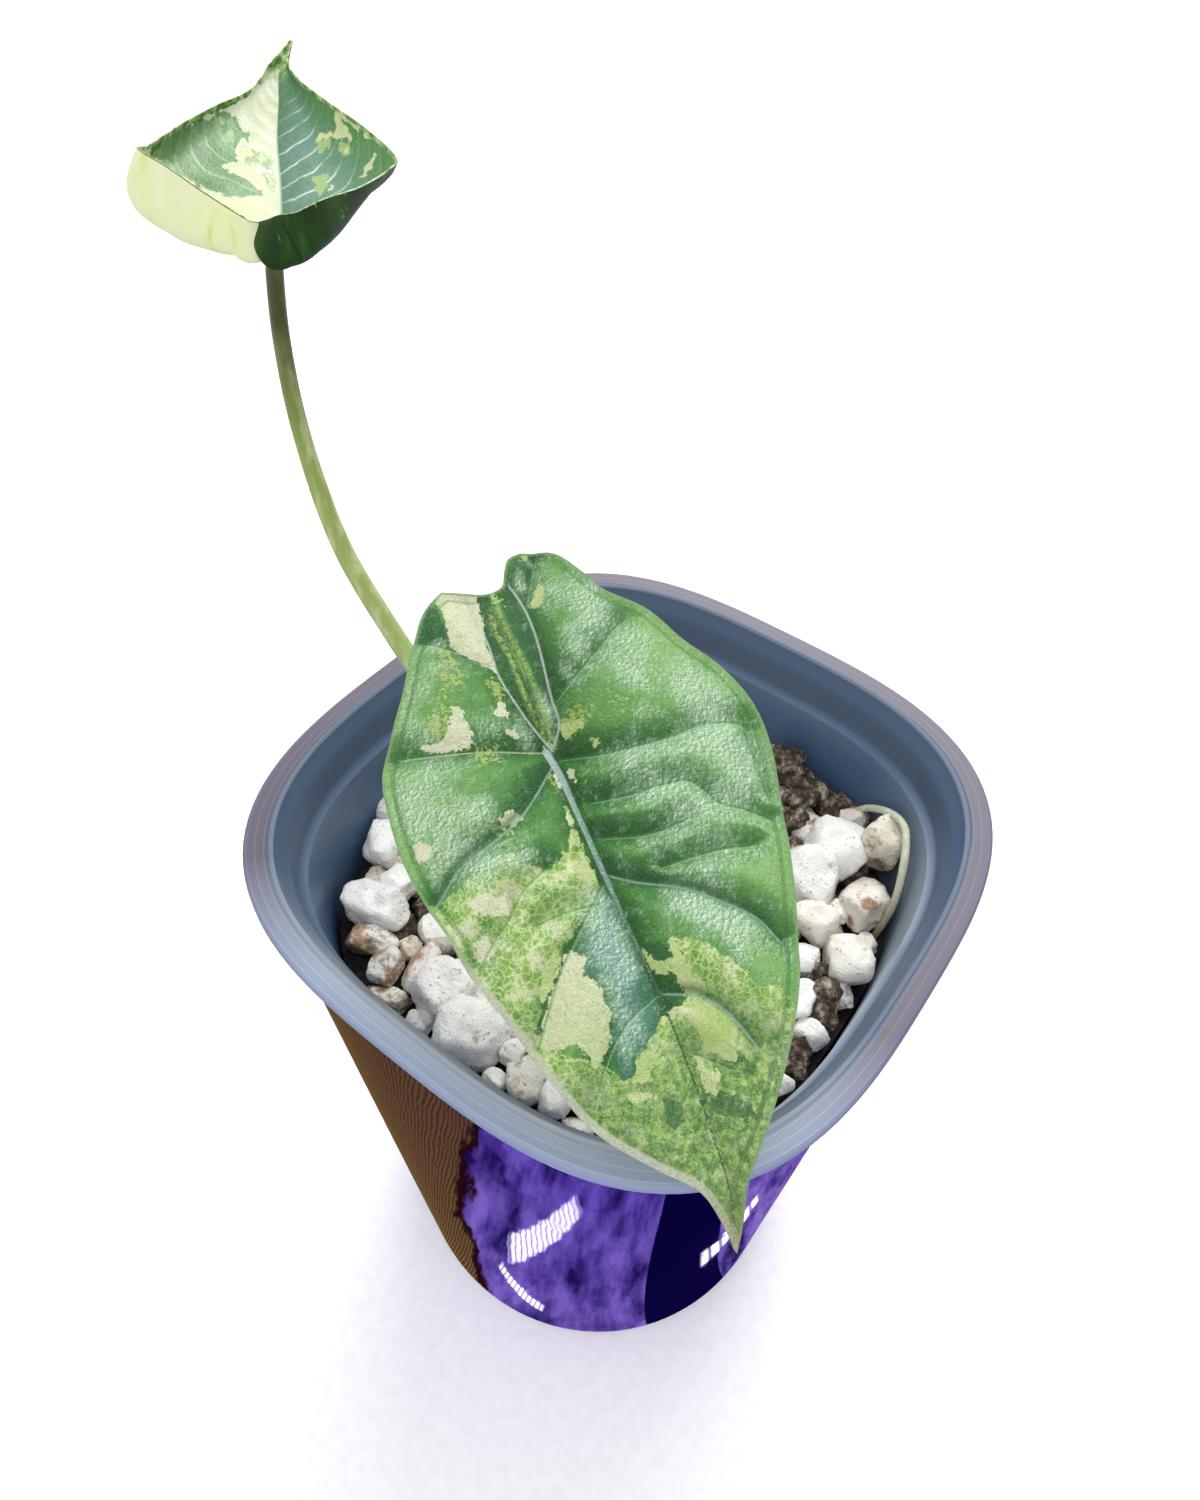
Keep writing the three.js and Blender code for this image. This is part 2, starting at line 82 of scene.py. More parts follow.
def add_node(owner, kind, settings=None, links=None):
    """Adds one node, sets its properties and input values, and links its inputs."""
    node = owner.node_tree.nodes.new("ShaderNode" + kind)
    for key, value in (settings or {}).items():
        if key == "ramp":
            elements = node.color_ramp.elements
            while len(elements) < len(value):
                elements.new(0.5)
            for element, (place, tint) in zip(elements, value):
                element.position = place
                element.color = linear(tint)
        elif isinstance(key, str) and hasattr(node, key):
            setattr(node, key, value)
        else:
            node.inputs[key].default_value = value
    for key, source in (links or {}).items():
        socket = source.outputs[0] if isinstance(source, bpy.types.Node) else source
        owner.node_tree.links.new(socket, node.inputs[key])
    return node


def new_material(name):
    """An empty material, and the function that adds nodes to it."""
    material = bpy.data.materials.new(name)
    material.use_nodes = True
    material.node_tree.nodes.clear()
    return material, partial(add_node, material)


def close_material(add, settings, links):
    """Ends a material with its shader and output."""
    shader = add("BsdfPrincipled", settings, links)
    add("OutputMaterial", {}, {"Surface": shader})


def paint_over(add, under, coats):
    """Lays coats over a colour, one by one. Each is a mask and a hex colour or a colour's source."""
    colour = under
    for mask, tint in coats:
        settings = {"data_type": "RGBA"}
        links = {FACTOR: mask, FIRST: colour}
        if isinstance(tint, str):
            settings[SECOND] = linear(tint)
        else:
            links[SECOND] = tint
        colour = add("Mix", settings, links).outputs[MIXED]
    return colour


# %% [markdown]
# ## Working on a piece
#
# Operators act on whatever is selected, and the frame leaves its solids selected, so
# everything is deselected before a primitive is added. A few short functions do what every
# piece needs: read its points, write them back, and hand it over to the frame at the end.

# %% Helpers for a piece
def clear_selection():
    if bpy.context.object and bpy.context.object.mode != "OBJECT":
        bpy.ops.object.mode_set(mode="OBJECT")
    for thing in bpy.context.selected_objects:
        thing.select_set(False)


def select_only(*things):
    clear_selection()
    for thing in things:
        thing.select_set(True)
    bpy.context.view_layer.objects.active = things[0]


def named_piece(name):
    piece = bpy.context.active_object
    piece.name = name
    piece.data.name = name
    return piece


def points_in_mm(piece):
    flat = np.empty(3 * len(piece.data.vertices))
    piece.data.vertices.foreach_get("co", flat)
    return flat.reshape(-1, 3) * PER_MM


def move_points(piece, points):
    """Writes a piece's points back, given in millimetres."""
    piece.data.vertices.foreach_set("co", (np.asarray(points) * MM).ravel())
    piece.data.update()


def keep_values(piece, name, values):
    """Stores one number for each point, which a material can read by name."""
    attribute = piece.data.attributes.new(name, "FLOAT", "POINT")
    attribute.data.foreach_set("value", np.asarray(values, np.float32))


def apply_modifier(piece, kind, **settings):
    select_only(piece)
    modifier = piece.modifiers.new(kind.title(), kind)
    for key, value in settings.items():
        setattr(modifier, key, value)
    bpy.ops.object.modifier_apply(modifier=modifier.name)


def smooth(piece, degrees=35):
    select_only(piece)
    bpy.ops.object.shade_smooth_by_angle(angle=math.radians(degrees))


def hand_over(piece, slot, *solids):
    """The piece moves with the plant, and stands for its solids."""
    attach(piece, ROOT_BODY)
    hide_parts(*solids)
    faces = len(piece.data.polygons)
    print(f"{piece.name}: {faces} faces, stands for {', '.join(solids)}")


# %% [markdown]
# ## The camera
#
# The photograph looks down on the plant from nearby with a wide lens, as a phone does. The
# lens, the height and the tilt were found from the rim, which is a rounded square, and the
# foot, which is a circle. The camera is turned in three steps, as on a tripod: heading,
# tilt, and a small roll.

# %% Camera
CAMERA_PLACE = Vector((52.232, -82.844, 252.792)) * MM
CAMERA_HEADING = 34.85
CAMERA_DOWN = 48.18
CAMERA_ROLL = 3.084
CAMERA_LENS = 24.88
CAMERA_SENSOR = 36

bpy.ops.object.camera_add()
camera = bpy.context.active_object
camera.name = "camera"
turn = Matrix.Rotation(math.radians(CAMERA_HEADING), 4, "Z")
turn = turn @ Matrix.Rotation(math.radians(90 - CAMERA_DOWN), 4, "X")
turn = turn @ Matrix.Rotation(math.radians(CAMERA_ROLL), 4, "Z")
camera.matrix_world = Matrix.Translation(CAMERA_PLACE) @ turn
camera.data.lens = CAMERA_LENS
camera.data.sensor_width = CAMERA_SENSOR
camera.data.sensor_fit = "AUTO"
camera.data.clip_start = 0.005
camera.data.clip_end = 20
bpy.context.scene.camera = camera
print("camera looks along", [round(c, 3) for c in -turn.col[2].to_3d()])

# %% [markdown]
# ## Floor and light
#
# The plant stands on a plain pale floor in soft light: one large soft light from above and
# behind, which gives the leaves their sheen, and a weaker one from the front. The bright
# world fills the shadows. Everything here is stage, and not part of the plant.

# %% Floor
FLOOR_SIZE = 6.0

clear_selection()
bpy.ops.mesh.primitive_plane_add(size=FLOOR_SIZE)
floor = named_piece("floor")
paper, add = new_material("white studio paper")
grain = add("TexNoise", {"Scale": PER_MM / 2.5},
            {"Vector": add("TexCoord").outputs["Object"]})
tone = add("ValToRGB", {"ramp": [(0.3, "#f4f4f4"), (0.7, "#fafafa")]}, {"Fac": grain})
close_material(add, {"Roughness": 0.9, "Specular IOR Level": 0.0}, {"Base Color": tone})
floor.data.materials.append(paper)

# %% [markdown]
# The cover pot is a mirror, so what it shows is the room. Its wall leans out and reflects
# the table round its foot: in the photograph that is a wooden table top on the left, a dark
# room in the middle, and a bright window with glazing bars. A card that only mirrors can
# see lies a hair above the floor. It glows in these colours and lights nothing else.

# %% Mirror card
CARD_RADIUS = 900.0
CARD_HEIGHT = 0.3
CAMERA_SIDE = math.atan2(CAMERA_PLACE.y, CAMERA_PLACE.x)
EVEN_ROOM = "#6a50a8"
# Angles round the pot, in degrees to the right of the camera's side.
DARK_BAND, DARK_REACH = 34, 14
WOOD_EDGE_NEAR, WOOD_EDGE_FAR = -30, -47
CALM_FROM, CALM_TO = 65, 110
BEHIND_FROM, BEHIND_TO = 125, 150

clear_selection()
bpy.ops.mesh.primitive_circle_add(vertices=96, radius=CARD_RADIUS * MM, fill_type="NGON",
                                  location=(0, 0, CARD_HEIGHT * MM))
card = named_piece("mirror_card")
card.visible_camera = False
card.visible_diffuse = False
card.visible_shadow = False
card.visible_transmission = False
card.visible_volume_scatter = False

room, add = new_material("room in the mirror")
place = add("TexCoord").outputs["Object"]
# Turned so that X runs along the table towards the camera and Y to the camera's right.
facing = add("Mapping", {"Scale": (PER_MM, PER_MM, PER_MM),
                         "Rotation": (0, 0, -CAMERA_SIDE)}, {"Vector": place})
sides = add("SeparateXYZ", {}, {"Vector": facing})
angle = add("Math", {"operation": "ARCTAN2"}, {0: sides.outputs["Y"], 1: sides.outputs["X"]})
spread = add("VectorMath", {"operation": "LENGTH"}, {0: facing}).outputs["Value"]
blur = add("TexNoise", {"Scale": 1 / 11.0, "Detail": 5.0, "Roughness": 0.65}, {"Vector": facing})
dim_room = add(
    "ValToRGB", {"ramp": [(0.36, "#2a1a60"), (0.47, "#6a50a8"), (0.62, "#a084dc")]}, {"Fac": blur})
dark_band = add(
    "Math", {"operation": "COMPARE", 1: math.radians(DARK_BAND), 2: math.radians(DARK_REACH)}, {0: angle})
# The wood's grain runs away from the pot, so its lines differ by angle.
round_mm = add("Math", {"operation": "MULTIPLY", 1: 50.0}, {0: angle})
plank = add("CombineXYZ", {}, {"X": spread, "Y": round_mm})
rings = add("TexWave", {"bands_direction": "Y", "Scale": 0.3, "Distortion": 6.0,
                        "Detail": 4.0, "Detail Scale": 0.6}, {"Vector": plank}).outputs["Fac"]
wood = add("ValToRGB", {"ramp": [(0.0, "#543d22"), (0.45, "#70522f"), (1.0, "#8b6c45")]}, {"Fac": rings})
edge_wave = add("Math", {"operation": "MULTIPLY_ADD", 1: 0.35, 2: -0.18}, {0: blur})
left_edge = add("MapRange", {"From Min": 42.0, "From Max": 52.0, "To Min": math.radians(WOOD_EDGE_NEAR),
                             "To Max": math.radians(WOOD_EDGE_FAR)}, {"Value": spread})
past_edge = add("Math", {"operation": "SUBTRACT"}, {0: left_edge, 1: angle})
past_edge = add("Math", {"operation": "ADD"}, {0: past_edge, 1: edge_wave})
on_wood = add("MapRange", {"From Min": 0.05, "From Max": 0.075}, {"Value": past_edge})
on_shade = add("MapRange", {"From Max": 0.02}, {"Value": past_edge})
# The mottle calms down towards the sides, and behind the pot the room is one even tone.
turned = add("Math", {"operation": "ABSOLUTE"}, {0: angle})
calm = add("MapRange", {"From Min": math.radians(CALM_FROM), "From Max": math.radians(CALM_TO),
                        "To Max": 0.85}, {"Value": turned})
behind = add("MapRange", {"From Min": math.radians(BEHIND_FROM), "From Max": math.radians(BEHIND_TO)},
             {"Value": turned})
# Far from the pot the room fades into the pale studio, so no side view shows the card's end.
far_off = add("MapRange", {"From Min": 130.0, "From Max": 420.0, "interpolation_type": "SMOOTHSTEP"},
              {"Value": spread})
room_view = paint_over(add, dim_room, [
    (calm, EVEN_ROOM),
    (dark_band, "#0d0640"),
    (on_shade, "#300d14"),
    (on_wood, wood),
    (behind, EVEN_ROOM),
    (far_off, "#ededed"),
])
place_mm = add("VectorMath", {"operation": "SCALE", "Scale": PER_MM}, {0: place})


def glowing_patch(add, middle, turn, half_long, half_wide, bars_mm):
    """A bright patch with dark bars across it, at a place on the card, in millimetres."""
    local = add("Mapping", {"vector_type": "TEXTURE", "Location": (*middle, 0),
                            "Rotation": (0, 0, math.radians(turn))}, {"Vector": place_mm})
    ways = add("SeparateXYZ", {}, {"Vector": local})
    fades = []
    for way, half in (("X", half_long), ("Y", half_wide)):
        size = add("Math", {"operation": "ABSOLUTE"}, {0: ways.outputs[way]})
        fades.append(add("MapRange", {"From Min": half, "From Max": 0.8 * half}, {"Value": size}))
    bars = add("Math", {"operation": "PINGPONG", 1: bars_mm / 2}, {0: ways.outputs["X"]})
    between = add("MapRange", {"From Min": 0.12 * bars_mm, "From Max": 0.2 * bars_mm, "To Min": 0.15},
                  {"Value": bars})
    shape = add("Math", {"operation": "MULTIPLY"}, {0: fades[0], 1: fades[1]})
    return add("Math", {"operation": "MULTIPLY"}, {0: shape, 1: between})


window = glowing_patch(add, (13, -57.5), -27, 13.0, 3.4, 1.7)
lower_window = glowing_patch(add, (8, -45), 24, 8.0, 0.7, 1.3)
right_glints = glowing_patch(add, (52, -4), 70, 12.0, 1.6, 4.0)
total = add("Math", {"operation": "ADD"}, {0: window, 1: lower_window})
total = add("Math", {"operation": "ADD"}, {0: total, 1: right_glints})
power = add("Math", {"operation": "MULTIPLY", 1: 3.0}, {0: total})
room_glow = add("Emission", {}, {"Color": room_view})
window_glow = add("Emission", {"Color": linear("#f4f0ff")}, {"Strength": power})
both = add("AddShader", {}, {0: room_glow, 1: window_glow})
add("OutputMaterial", {}, {"Surface": both})
card.data.materials.append(room)
print("mirror card:", CARD_RADIUS, "mm round the pot")

# %% Lights
def soft_light(name, place, aim, size, power):
    bpy.ops.object.light_add(type="AREA", location=place)
    light = bpy.context.active_object
    light.name = name
    light.data.shape = "DISK"
    light.data.size = size
    light.data.energy = power
    light.rotation_euler = (Vector(aim) - Vector(place)).to_track_quat("-Z", "Y").to_euler()


PLANT_MIDDLE = (0, 0, 0.13)
soft_light("sky_panel", (-0.3, 0.75, 1.0), PLANT_MIDDLE, 0.9, 10.5)
soft_light("front_panel", (0.15, -0.45, 1.15), PLANT_MIDDLE, 0.9, 4.5)

world = bpy.data.worlds.new("pale studio")
bpy.context.scene.world = world
world.use_nodes = True
world.node_tree.nodes.clear()
backdrop = add_node(world, "Background", {"Color": linear("#ffffff"), "Strength": 0.85})
add_node(world, "OutputWorld", {}, {"Surface": backdrop})

# %% [markdown]
# ## How the light is turned to a picture
#
# A photograph on a pure white ground keeps its colours as they are. Blender's usual picture
# style flattens bright colours, so the plain one is chosen.

# %% Picture style
bpy.context.scene.view_settings.view_transform = "Standard"
print("picture style:", bpy.context.scene.view_settings.view_transform)

# %% [markdown]
# ## Two pots, ring by ring
#
# Both pots are thin shells that were pulled from a mould. They could be spun from a profile,
# but a ring that is pulled up, out and over, as a potter works, is easier to follow: a
# circle is added, extruded from height to height, widened or narrowed at each stop, and
# closed at both ends. The rings are round at first. Then each is pressed towards a square
# with full corners, by an amount that may change with the height.

# %% A shell of rings
ROUND = 2.0
SOFT_SQUARE = 3.0


def corner_factor(x, y, squareness):
    """Distance to a rounded square's edge in the direction of a point, per unit of half width."""
    radius = np.hypot(x, y)
    cosine, sine = np.abs(x) / radius, np.abs(y) / radius
    return (cosine ** squareness + sine ** squareness) ** (-1 / squareness)


def half_width(x, y):
    """Half width of the soft square that passes through a point."""
    return (np.abs(x) ** SOFT_SQUARE + np.abs(y) ** SOFT_SQUARE) ** (1 / SOFT_SQUARE)


def shell_of_rings(name, profile, sides, squareness_at):
    """A closed shell through (half width, height) stops in millimetres, from foot to floor."""
    clear_selection()
    first_half, first_height = profile[0]
    bpy.ops.mesh.primitive_circle_add(
        vertices=sides, radius=first_half * MM, location=(0, 0, first_height * MM))
    piece = named_piece(name)
    select_only(piece)
    bpy.ops.object.transform_apply(location=True, rotation=True, scale=True)
    bpy.ops.object.mode_set(mode="EDIT")
    bpy.ops.mesh.select_all(action="SELECT")
    for (half, height), (next_half, next_height) in zip(profile, profile[1:]):
        bpy.ops.mesh.extrude_region_move(
            TRANSFORM_OT_translate={"value": (0, 0, (next_height - height) * MM)})
        widen = next_half / half
        bpy.ops.transform.resize(value=(widen, widen, 1))
    bpy.ops.mesh.edge_face_add()
    bpy.ops.mesh.poke()
    bpy.ops.mesh.select_all(action="DESELECT")
    bpy.ops.mesh.select_non_manifold()
    bpy.ops.mesh.edge_face_add()
    bpy.ops.mesh.poke()
    bpy.ops.mesh.select_all(action="SELECT")
    bpy.ops.mesh.normals_make_consistent(inside=False)
    bpy.ops.object.mode_set(mode="OBJECT")
    points = points_in_mm(piece)
    off_axis = np.hypot(points[:, 0], points[:, 1]) > 0.01
    x, y, z = points[off_axis].T
    factor = corner_factor(x, y, squareness_at(z))
    points[off_axis, 0] = x * factor
    points[off_axis, 1] = y * factor
    move_points(piece, points)
    return piece


def straight(start, end, steps):
    """Stops between two (half width, height) points, without the first."""
    shares = np.arange(1, steps + 1) / steps
    return [tuple(np.array(start) + share * (np.array(end) - np.array(start))) for share in shares]


def rounded(centre, radius, from_angle, to_angle, steps):
    """Stops on an arc of the profile, angles in degrees from straight outwards."""
    angles = np.radians(np.linspace(from_angle, to_angle, steps + 1))
    return [(centre[0] + radius * math.cos(a), centre[1] + radius * math.sin(a)) for a in angles]


# %% [markdown]
# ## The cover pot
#
# It is a thin metallic-glazed pot, round at the foot and a soft square at the rim. Its outer
# wall needs many rings, because a mirror shows each flat spot. Its foot is rounded where it
# meets the table, and its lip is rounded over.

# %% Cover pot
COVER_FOOT = 41.8
COVER_RIM = 47.4
COVER_HEIGHT = 128.5
COVER_WALL = 1.3
COVER_FLOOR = 2.0
FOOT_ROUNDING = 1.2
LIP = COVER_WALL / 2


def cover_squareness(z):
    return ROUND + (SOFT_SQUARE - ROUND) * np.clip(z / COVER_HEIGHT, 0, 1)


cover_profile = [(COVER_FOOT - 6, 0.0), (COVER_FOOT - 2.5, 0.0)]
cover_profile += rounded((COVER_FOOT - FOOT_ROUNDING, FOOT_ROUNDING), FOOT_ROUNDING, -90, 0, 6)
cover_profile += straight(cover_profile[-1], (COVER_RIM, COVER_HEIGHT - LIP), 60)
cover_profile += rounded((COVER_RIM - LIP, COVER_HEIGHT - LIP), LIP, 15, 180, 8)
cover_profile += straight(cover_profile[-1], (COVER_FOOT - COVER_WALL, COVER_FLOOR + 1.5), 20)
cover_profile += [(COVER_FOOT - COVER_WALL - 1.5, COVER_FLOOR), (20.0, COVER_FLOOR)]
cover_pot = shell_of_rings("cover_pot_shell", cover_profile, 192, cover_squareness)
smooth(cover_pot)
print("cover pot:", len(cover_profile), "rings")

# %% [markdown]
# The finish is a candy glaze: a purple coat over a bright metallic ground, polished to a
# mirror. Metallic is high, the roughness is low, and faint clouds in the coat's thickness
# change its purple a little.

# %% Metallic purple glaze
GLAZE_CLOUD_MM = 18.0
GLAZE_RIPPLE_MM = 9.0

glaze, add = new_material("metallic purple glaze")
place = add("TexCoord").outputs["Object"]
clouds = add("TexNoise", {"Scale": PER_MM / GLAZE_CLOUD_MM, "Detail": 3.0}, {"Vector": place})
purple = add("ValToRGB", {"ramp": [(0.3, "#5a3bb2"), (0.7, "#6a48c8")]}, {"Fac": clouds})
ripple = add("TexNoise", {"Scale": PER_MM / GLAZE_RIPPLE_MM, "Detail": 1.0}, {"Vector": place})
wave = add("Bump", {"Strength": 0.25, "Distance": 0.0002}, {"Height": ripple})
close_material(add, {"Metallic": 1.0, "Roughness": 0.04, "Coat Weight": 0.3, "Coat Roughness": 0.02},
               {"Base Color": purple, "Normal": wave})
cover_pot.data.materials.append(glaze)
hand_over(cover_pot, "cover_pot", "cover_pot")

# %% [markdown]
# ## The liner pot
#
# The liner is a thin nursery pot of milky polypropylene. It hangs in the cover pot by a flat
# rim, then steps in to a ledge and tapers down to its floor, where four holes drain it. A
# fine bead runs round the rim's inner edge, where the two halves of the mould met.

# %% Liner pot
RIM_TOP = 131.0
RIM_HALF = 50.0
RIM_BAND = 3.6
RIM_SKIRT = 2.2
LINER_WALL = 0.8
SHOULDER_HALF = 44.6
SHOULDER_DROP = 3.0
LEDGE_DROP = 8.0
THROAT_HALF = 43.0
LINER_FLOOR_HALF = 33.5
LINER_UNDERSIDE = 8.0
DRAIN_RADIUS = 3.0
DRAIN_RING = 20.0
BEAD = 0.25

ledge = RIM_TOP - LEDGE_DROP
shoulder = RIM_TOP - SHOULDER_DROP
under_rim = RIM_TOP - RIM_SKIRT
inner_edge = RIM_HALF - RIM_BAND
liner_profile = [(12.0, LINER_UNDERSIDE), (LINER_FLOOR_HALF + LINER_WALL - 1, LINER_UNDERSIDE)]
liner_profile += straight((LINER_FLOOR_HALF + LINER_WALL, LINER_UNDERSIDE + 0.6),
                          (THROAT_HALF + LINER_WALL, ledge - 2 * LINER_WALL), 14)
liner_profile += [(SHOULDER_HALF + LINER_WALL - 0.4, ledge - LINER_WALL),
                  (SHOULDER_HALF + LINER_WALL, shoulder),
                  (SHOULDER_HALF + LINER_WALL + 0.4, under_rim)]
liner_profile += rounded((RIM_HALF - 0.3, under_rim + 0.3), 0.3, -90, 0, 4)
liner_profile += rounded((RIM_HALF - 0.6, RIM_TOP - 0.6), 0.6, 0, 90, 6)
liner_profile += straight((RIM_HALF - 0.6, RIM_TOP), (inner_edge + 2 * BEAD, RIM_TOP), 6)
liner_profile += [(inner_edge + 1.2 * BEAD, RIM_TOP + 0.6 * BEAD), (inner_edge, RIM_TOP + BEAD),
                  (inner_edge - 0.8 * BEAD, RIM_TOP + 0.4 * BEAD),
                  (inner_edge - 1.4 * BEAD, RIM_TOP - 1.4 * BEAD)]
liner_profile += straight(liner_profile[-1], (SHOULDER_HALF, shoulder), 3)
liner_profile += straight((SHOULDER_HALF, shoulder), (SHOULDER_HALF - 0.4, ledge + 0.5), 5)
liner_profile += [(SHOULDER_HALF - 0.6, ledge + 0.1), (THROAT_HALF + 0.4, ledge - 0.4),
                  (THROAT_HALF + 0.05, ledge - 0.7)]
liner_profile += straight((THROAT_HALF, ledge - LINER_WALL),
                          (LINER_FLOOR_HALF, LINER_UNDERSIDE + LINER_WALL + 1), 24)
liner_profile += [(LINER_FLOOR_HALF - 1, LINER_UNDERSIDE + LINER_WALL),
                  (12.0, LINER_UNDERSIDE + LINER_WALL)]
liner_pot = shell_of_rings("liner_shell", liner_profile, 160, lambda z: SOFT_SQUARE)
for number in range(4):
    angle = (number + 0.5) * math.pi / 2
    clear_selection()
    bpy.ops.mesh.primitive_cylinder_add(
        vertices=24, radius=DRAIN_RADIUS * MM, depth=6 * LINER_WALL * MM,
        location=(DRAIN_RING * math.cos(angle) * MM, DRAIN_RING * math.sin(angle) * MM,
                  LINER_UNDERSIDE * MM))
    drill = bpy.context.active_object
    apply_modifier(liner_pot, "BOOLEAN", object=drill, operation="DIFFERENCE", solver="EXACT")
    bpy.data.objects.remove(drill)
smooth(liner_pot)
print("liner pot:", len(liner_profile), "rings and 4 drain holes")

# %% [markdown]
# Milky polypropylene lets a little of what is behind it through, and that is painted into its
# colour. Over the dark gap between the pots its wall is painted slate blue, as painted shade.
# At the rim the purple pot shines through, painted most of all on the far side. Each point
# keeps how far out it lies, how far back and how far to the right, and the material lays its
# tints by those three numbers and by height.

# %% Milky polypropylene
RIGHT_WALL = np.array([0.98, -0.2])

points = points_in_mm(liner_pot)
back = np.array([-math.sin(math.radians(CAMERA_HEADING)), math.cos(math.radians(CAMERA_HEADING))])
keep_values(liner_pot, "half_width", half_width(points[:, 0], points[:, 1]))
keep_values(liner_pot, "far_side", points[:, :2] @ back / RIM_HALF)
keep_values(liner_pot, "right_side", points[:, :2] @ RIGHT_WALL / RIM_HALF)

milky, add = new_material("milky polypropylene")
place = add("TexCoord").outputs["Object"]
height = add("SeparateXYZ", {}, {"Vector": place}).outputs["Z"]
across, far, right = (add("Attribute", {"attribute_name": name}).outputs["Fac"]
                      for name in ("half_width", "far_side", "right_side"))
haze = add("TexNoise", {"Scale": PER_MM / 14.0, "Detail": 3.0}, {"Vector": place})
# Painted shade of the dark gap behind: a slate blue wall, lighter towards the top.
wall_share = add("MapRange", {"From Min": 108 * MM, "From Max": 122.5 * MM}, {"Value": height})
wall = add("ValToRGB", {"ramp": [(0.0, "#405675"), (0.75, "#4d6484"), (1.0, "#5c6e89")]},
           {"Fac": wall_share})
hazy = add("MapRange", {"From Min": 0.52, "From Max": 0.75, "To Max": 0.35}, {"Value": haze})
rim_place = add("MapRange", {"From Min": SHOULDER_HALF - 0.6, "From Max": RIM_HALF}, {"Value": across})
near_tint = add("ValToRGB", {"ramp": [(0.0, "#5e6d84"), (0.42, "#8996a7"), (0.6, "#99a5b6"),
                                      (1.0, "#8996b4")]}, {"Fac": rim_place})
far_tint = add("ValToRGB", {"ramp": [(0.0, "#4c5e78"), (0.46, "#4c5d77"), (0.55, "#5f5b68"),
                                     (0.8, "#625c6b"), (1.0, "#645f77")]}, {"Fac": rim_place})
on_right = add("MapRange", {"From Min": 0.35, "From Max": 0.75, "To Max": 0.45}, {"Value": right})
far_sum = add("Math", {"operation": "ADD"}, {0: far, 1: on_right})
far_share = add("MapRange", {"From Min": -0.62, "From Max": -0.25}, {"Value": far_sum})
rim = paint_over(add, near_tint, [(far_share, far_tint)])
on_rim = add("MapRange", {"From Min": (ledge - 0.8) * MM, "From Max": (ledge + 0.6) * MM},
             {"Value": height})
# A painted highlight line along the bead, weaker towards the far side.
bead_line = add("Math", {"operation": "COMPARE", 1: inner_edge, 2: 0.3}, {0: across})
high = add("Math", {"operation": "GREATER_THAN", 1: (RIM_TOP - 0.5) * MM}, {0: height})
near_lines = add("MapRange", {"To Min": 1.0, "To Max": 0.3}, {"Value": far_share})
bead_highlight = add("Math", {"operation": "MULTIPLY", "use_clamp": True}, {0: bead_line, 1: high})
bead_highlight = add("Math", {"operation": "MULTIPLY"}, {0: bead_highlight, 1: near_lines})
# Fine lines run round the rim, where the mould left them, painted light as highlights on their ridges.
ring_lines = add("Math", {"operation": "PINGPONG", 1: 0.55}, {0: across})
ring_lines = add("MapRange", {"From Min": 0.12, "From Max": 0.03, "To Max": 0.35}, {"Value": ring_lines})
mould_line_highlights = add("Math", {"operation": "MULTIPLY", "use_clamp": True}, {0: ring_lines, 1: high})
mould_line_highlights = add("Math", {"operation": "MULTIPLY"}, {0: mould_line_highlights, 1: near_lines})
# Painted light: daylight through the right wall, most of all low down and towards the front.
lit_wall = add("MapRange", {"From Min": 0.28, "From Max": 0.68, "To Max": 0.7}, {"Value": right})
lit_front = add("MapRange", {"From Min": 0.35, "From Max": -0.35, "To Min": 0.22}, {"Value": far})
lit_wall = add("Math", {"operation": "MULTIPLY"}, {0: lit_wall, 1: lit_front})
colour = paint_over(add, wall, [
    (lit_wall, "#b6c1cd"),
    (hazy, "#5c6774"),
    (on_rim, rim),
    (bead_highlight, "#969da6"),
    (mould_line_highlights, "#c0c4cc"),
])
scratches = add("TexNoise", {"Scale": PER_MM / 1.2}, {"Vector": place})
rub = add("Bump", {"Strength": 0.15, "Distance": 0.0001}, {"Height": scratches})
close_material(add, {"Roughness": 0.4, "Specular IOR Level": 0.3, "Subsurface Weight": 0.08,
                     "Subsurface Radius": (0.004, 0.004, 0.005), "Coat Weight": 0.05,
                     "Coat Roughness": 0.2}, {"Base Color": colour, "Normal": rub})
liner_pot.data.materials.append(milky)
hand_over(liner_pot, "liner_pot", "liner_pot")

# %% [markdown]
# ## Smooth lines through a few points
#
# Stalks, roots, leaf edges and veins are all smooth lines through a few stops. One function
# draws them: a spline whose bends follow the spacing of its stops, so it never loops or
# overshoots. It can share its points out by stops or evenly by length.

# %% Smooth lines
def smooth_line(stops, shares, even=False):
    """Points on a smooth line through some stops, at shares of the way from 0 to 1."""
    stops = np.asarray(stops, float)
    before = 2 * stops[0] - stops[1]
    after = 2 * stops[-1] - stops[-2]
    padded = np.vstack([before, stops, after])
    shares = np.asarray(shares, float)
    if even:
        dense_shares = np.linspace(0, 1, 400)
        dense = smooth_line(stops, dense_shares)
        steps = np.linalg.norm(np.diff(dense, axis=0), axis=1)
        travelled = np.concatenate([[0], np.cumsum(steps)])
        shares = np.interp(shares * travelled[-1], travelled, dense_shares)
    position = shares * (len(stops) - 1)
    index = np.minimum(position.astype(int), len(stops) - 2)
    t = (position - index)[:, None]
    p0, p1, p2, p3 = (padded[index + k] for k in range(4))

    def spacing(a, b):
        return np.maximum(np.linalg.norm(b - a, axis=1)[:, None], 1e-6) ** 0.5

    d0, d1, d2 = spacing(p0, p1), spacing(p1, p2), spacing(p2, p3)
    leave = ((p1 - p0) / d0 - (p2 - p0) / (d0 + d1) + (p2 - p1) / d1) * d1
    arrive = ((p2 - p1) / d1 - (p3 - p1) / (d1 + d2) + (p3 - p2) / d2) * d1
    square = -3 * p1 + 3 * p2 - 2 * leave - arrive
    cube = 2 * p1 - 2 * p2 + leave + arrive
    return p1 + leave * t + square * t ** 2 + cube * t ** 3
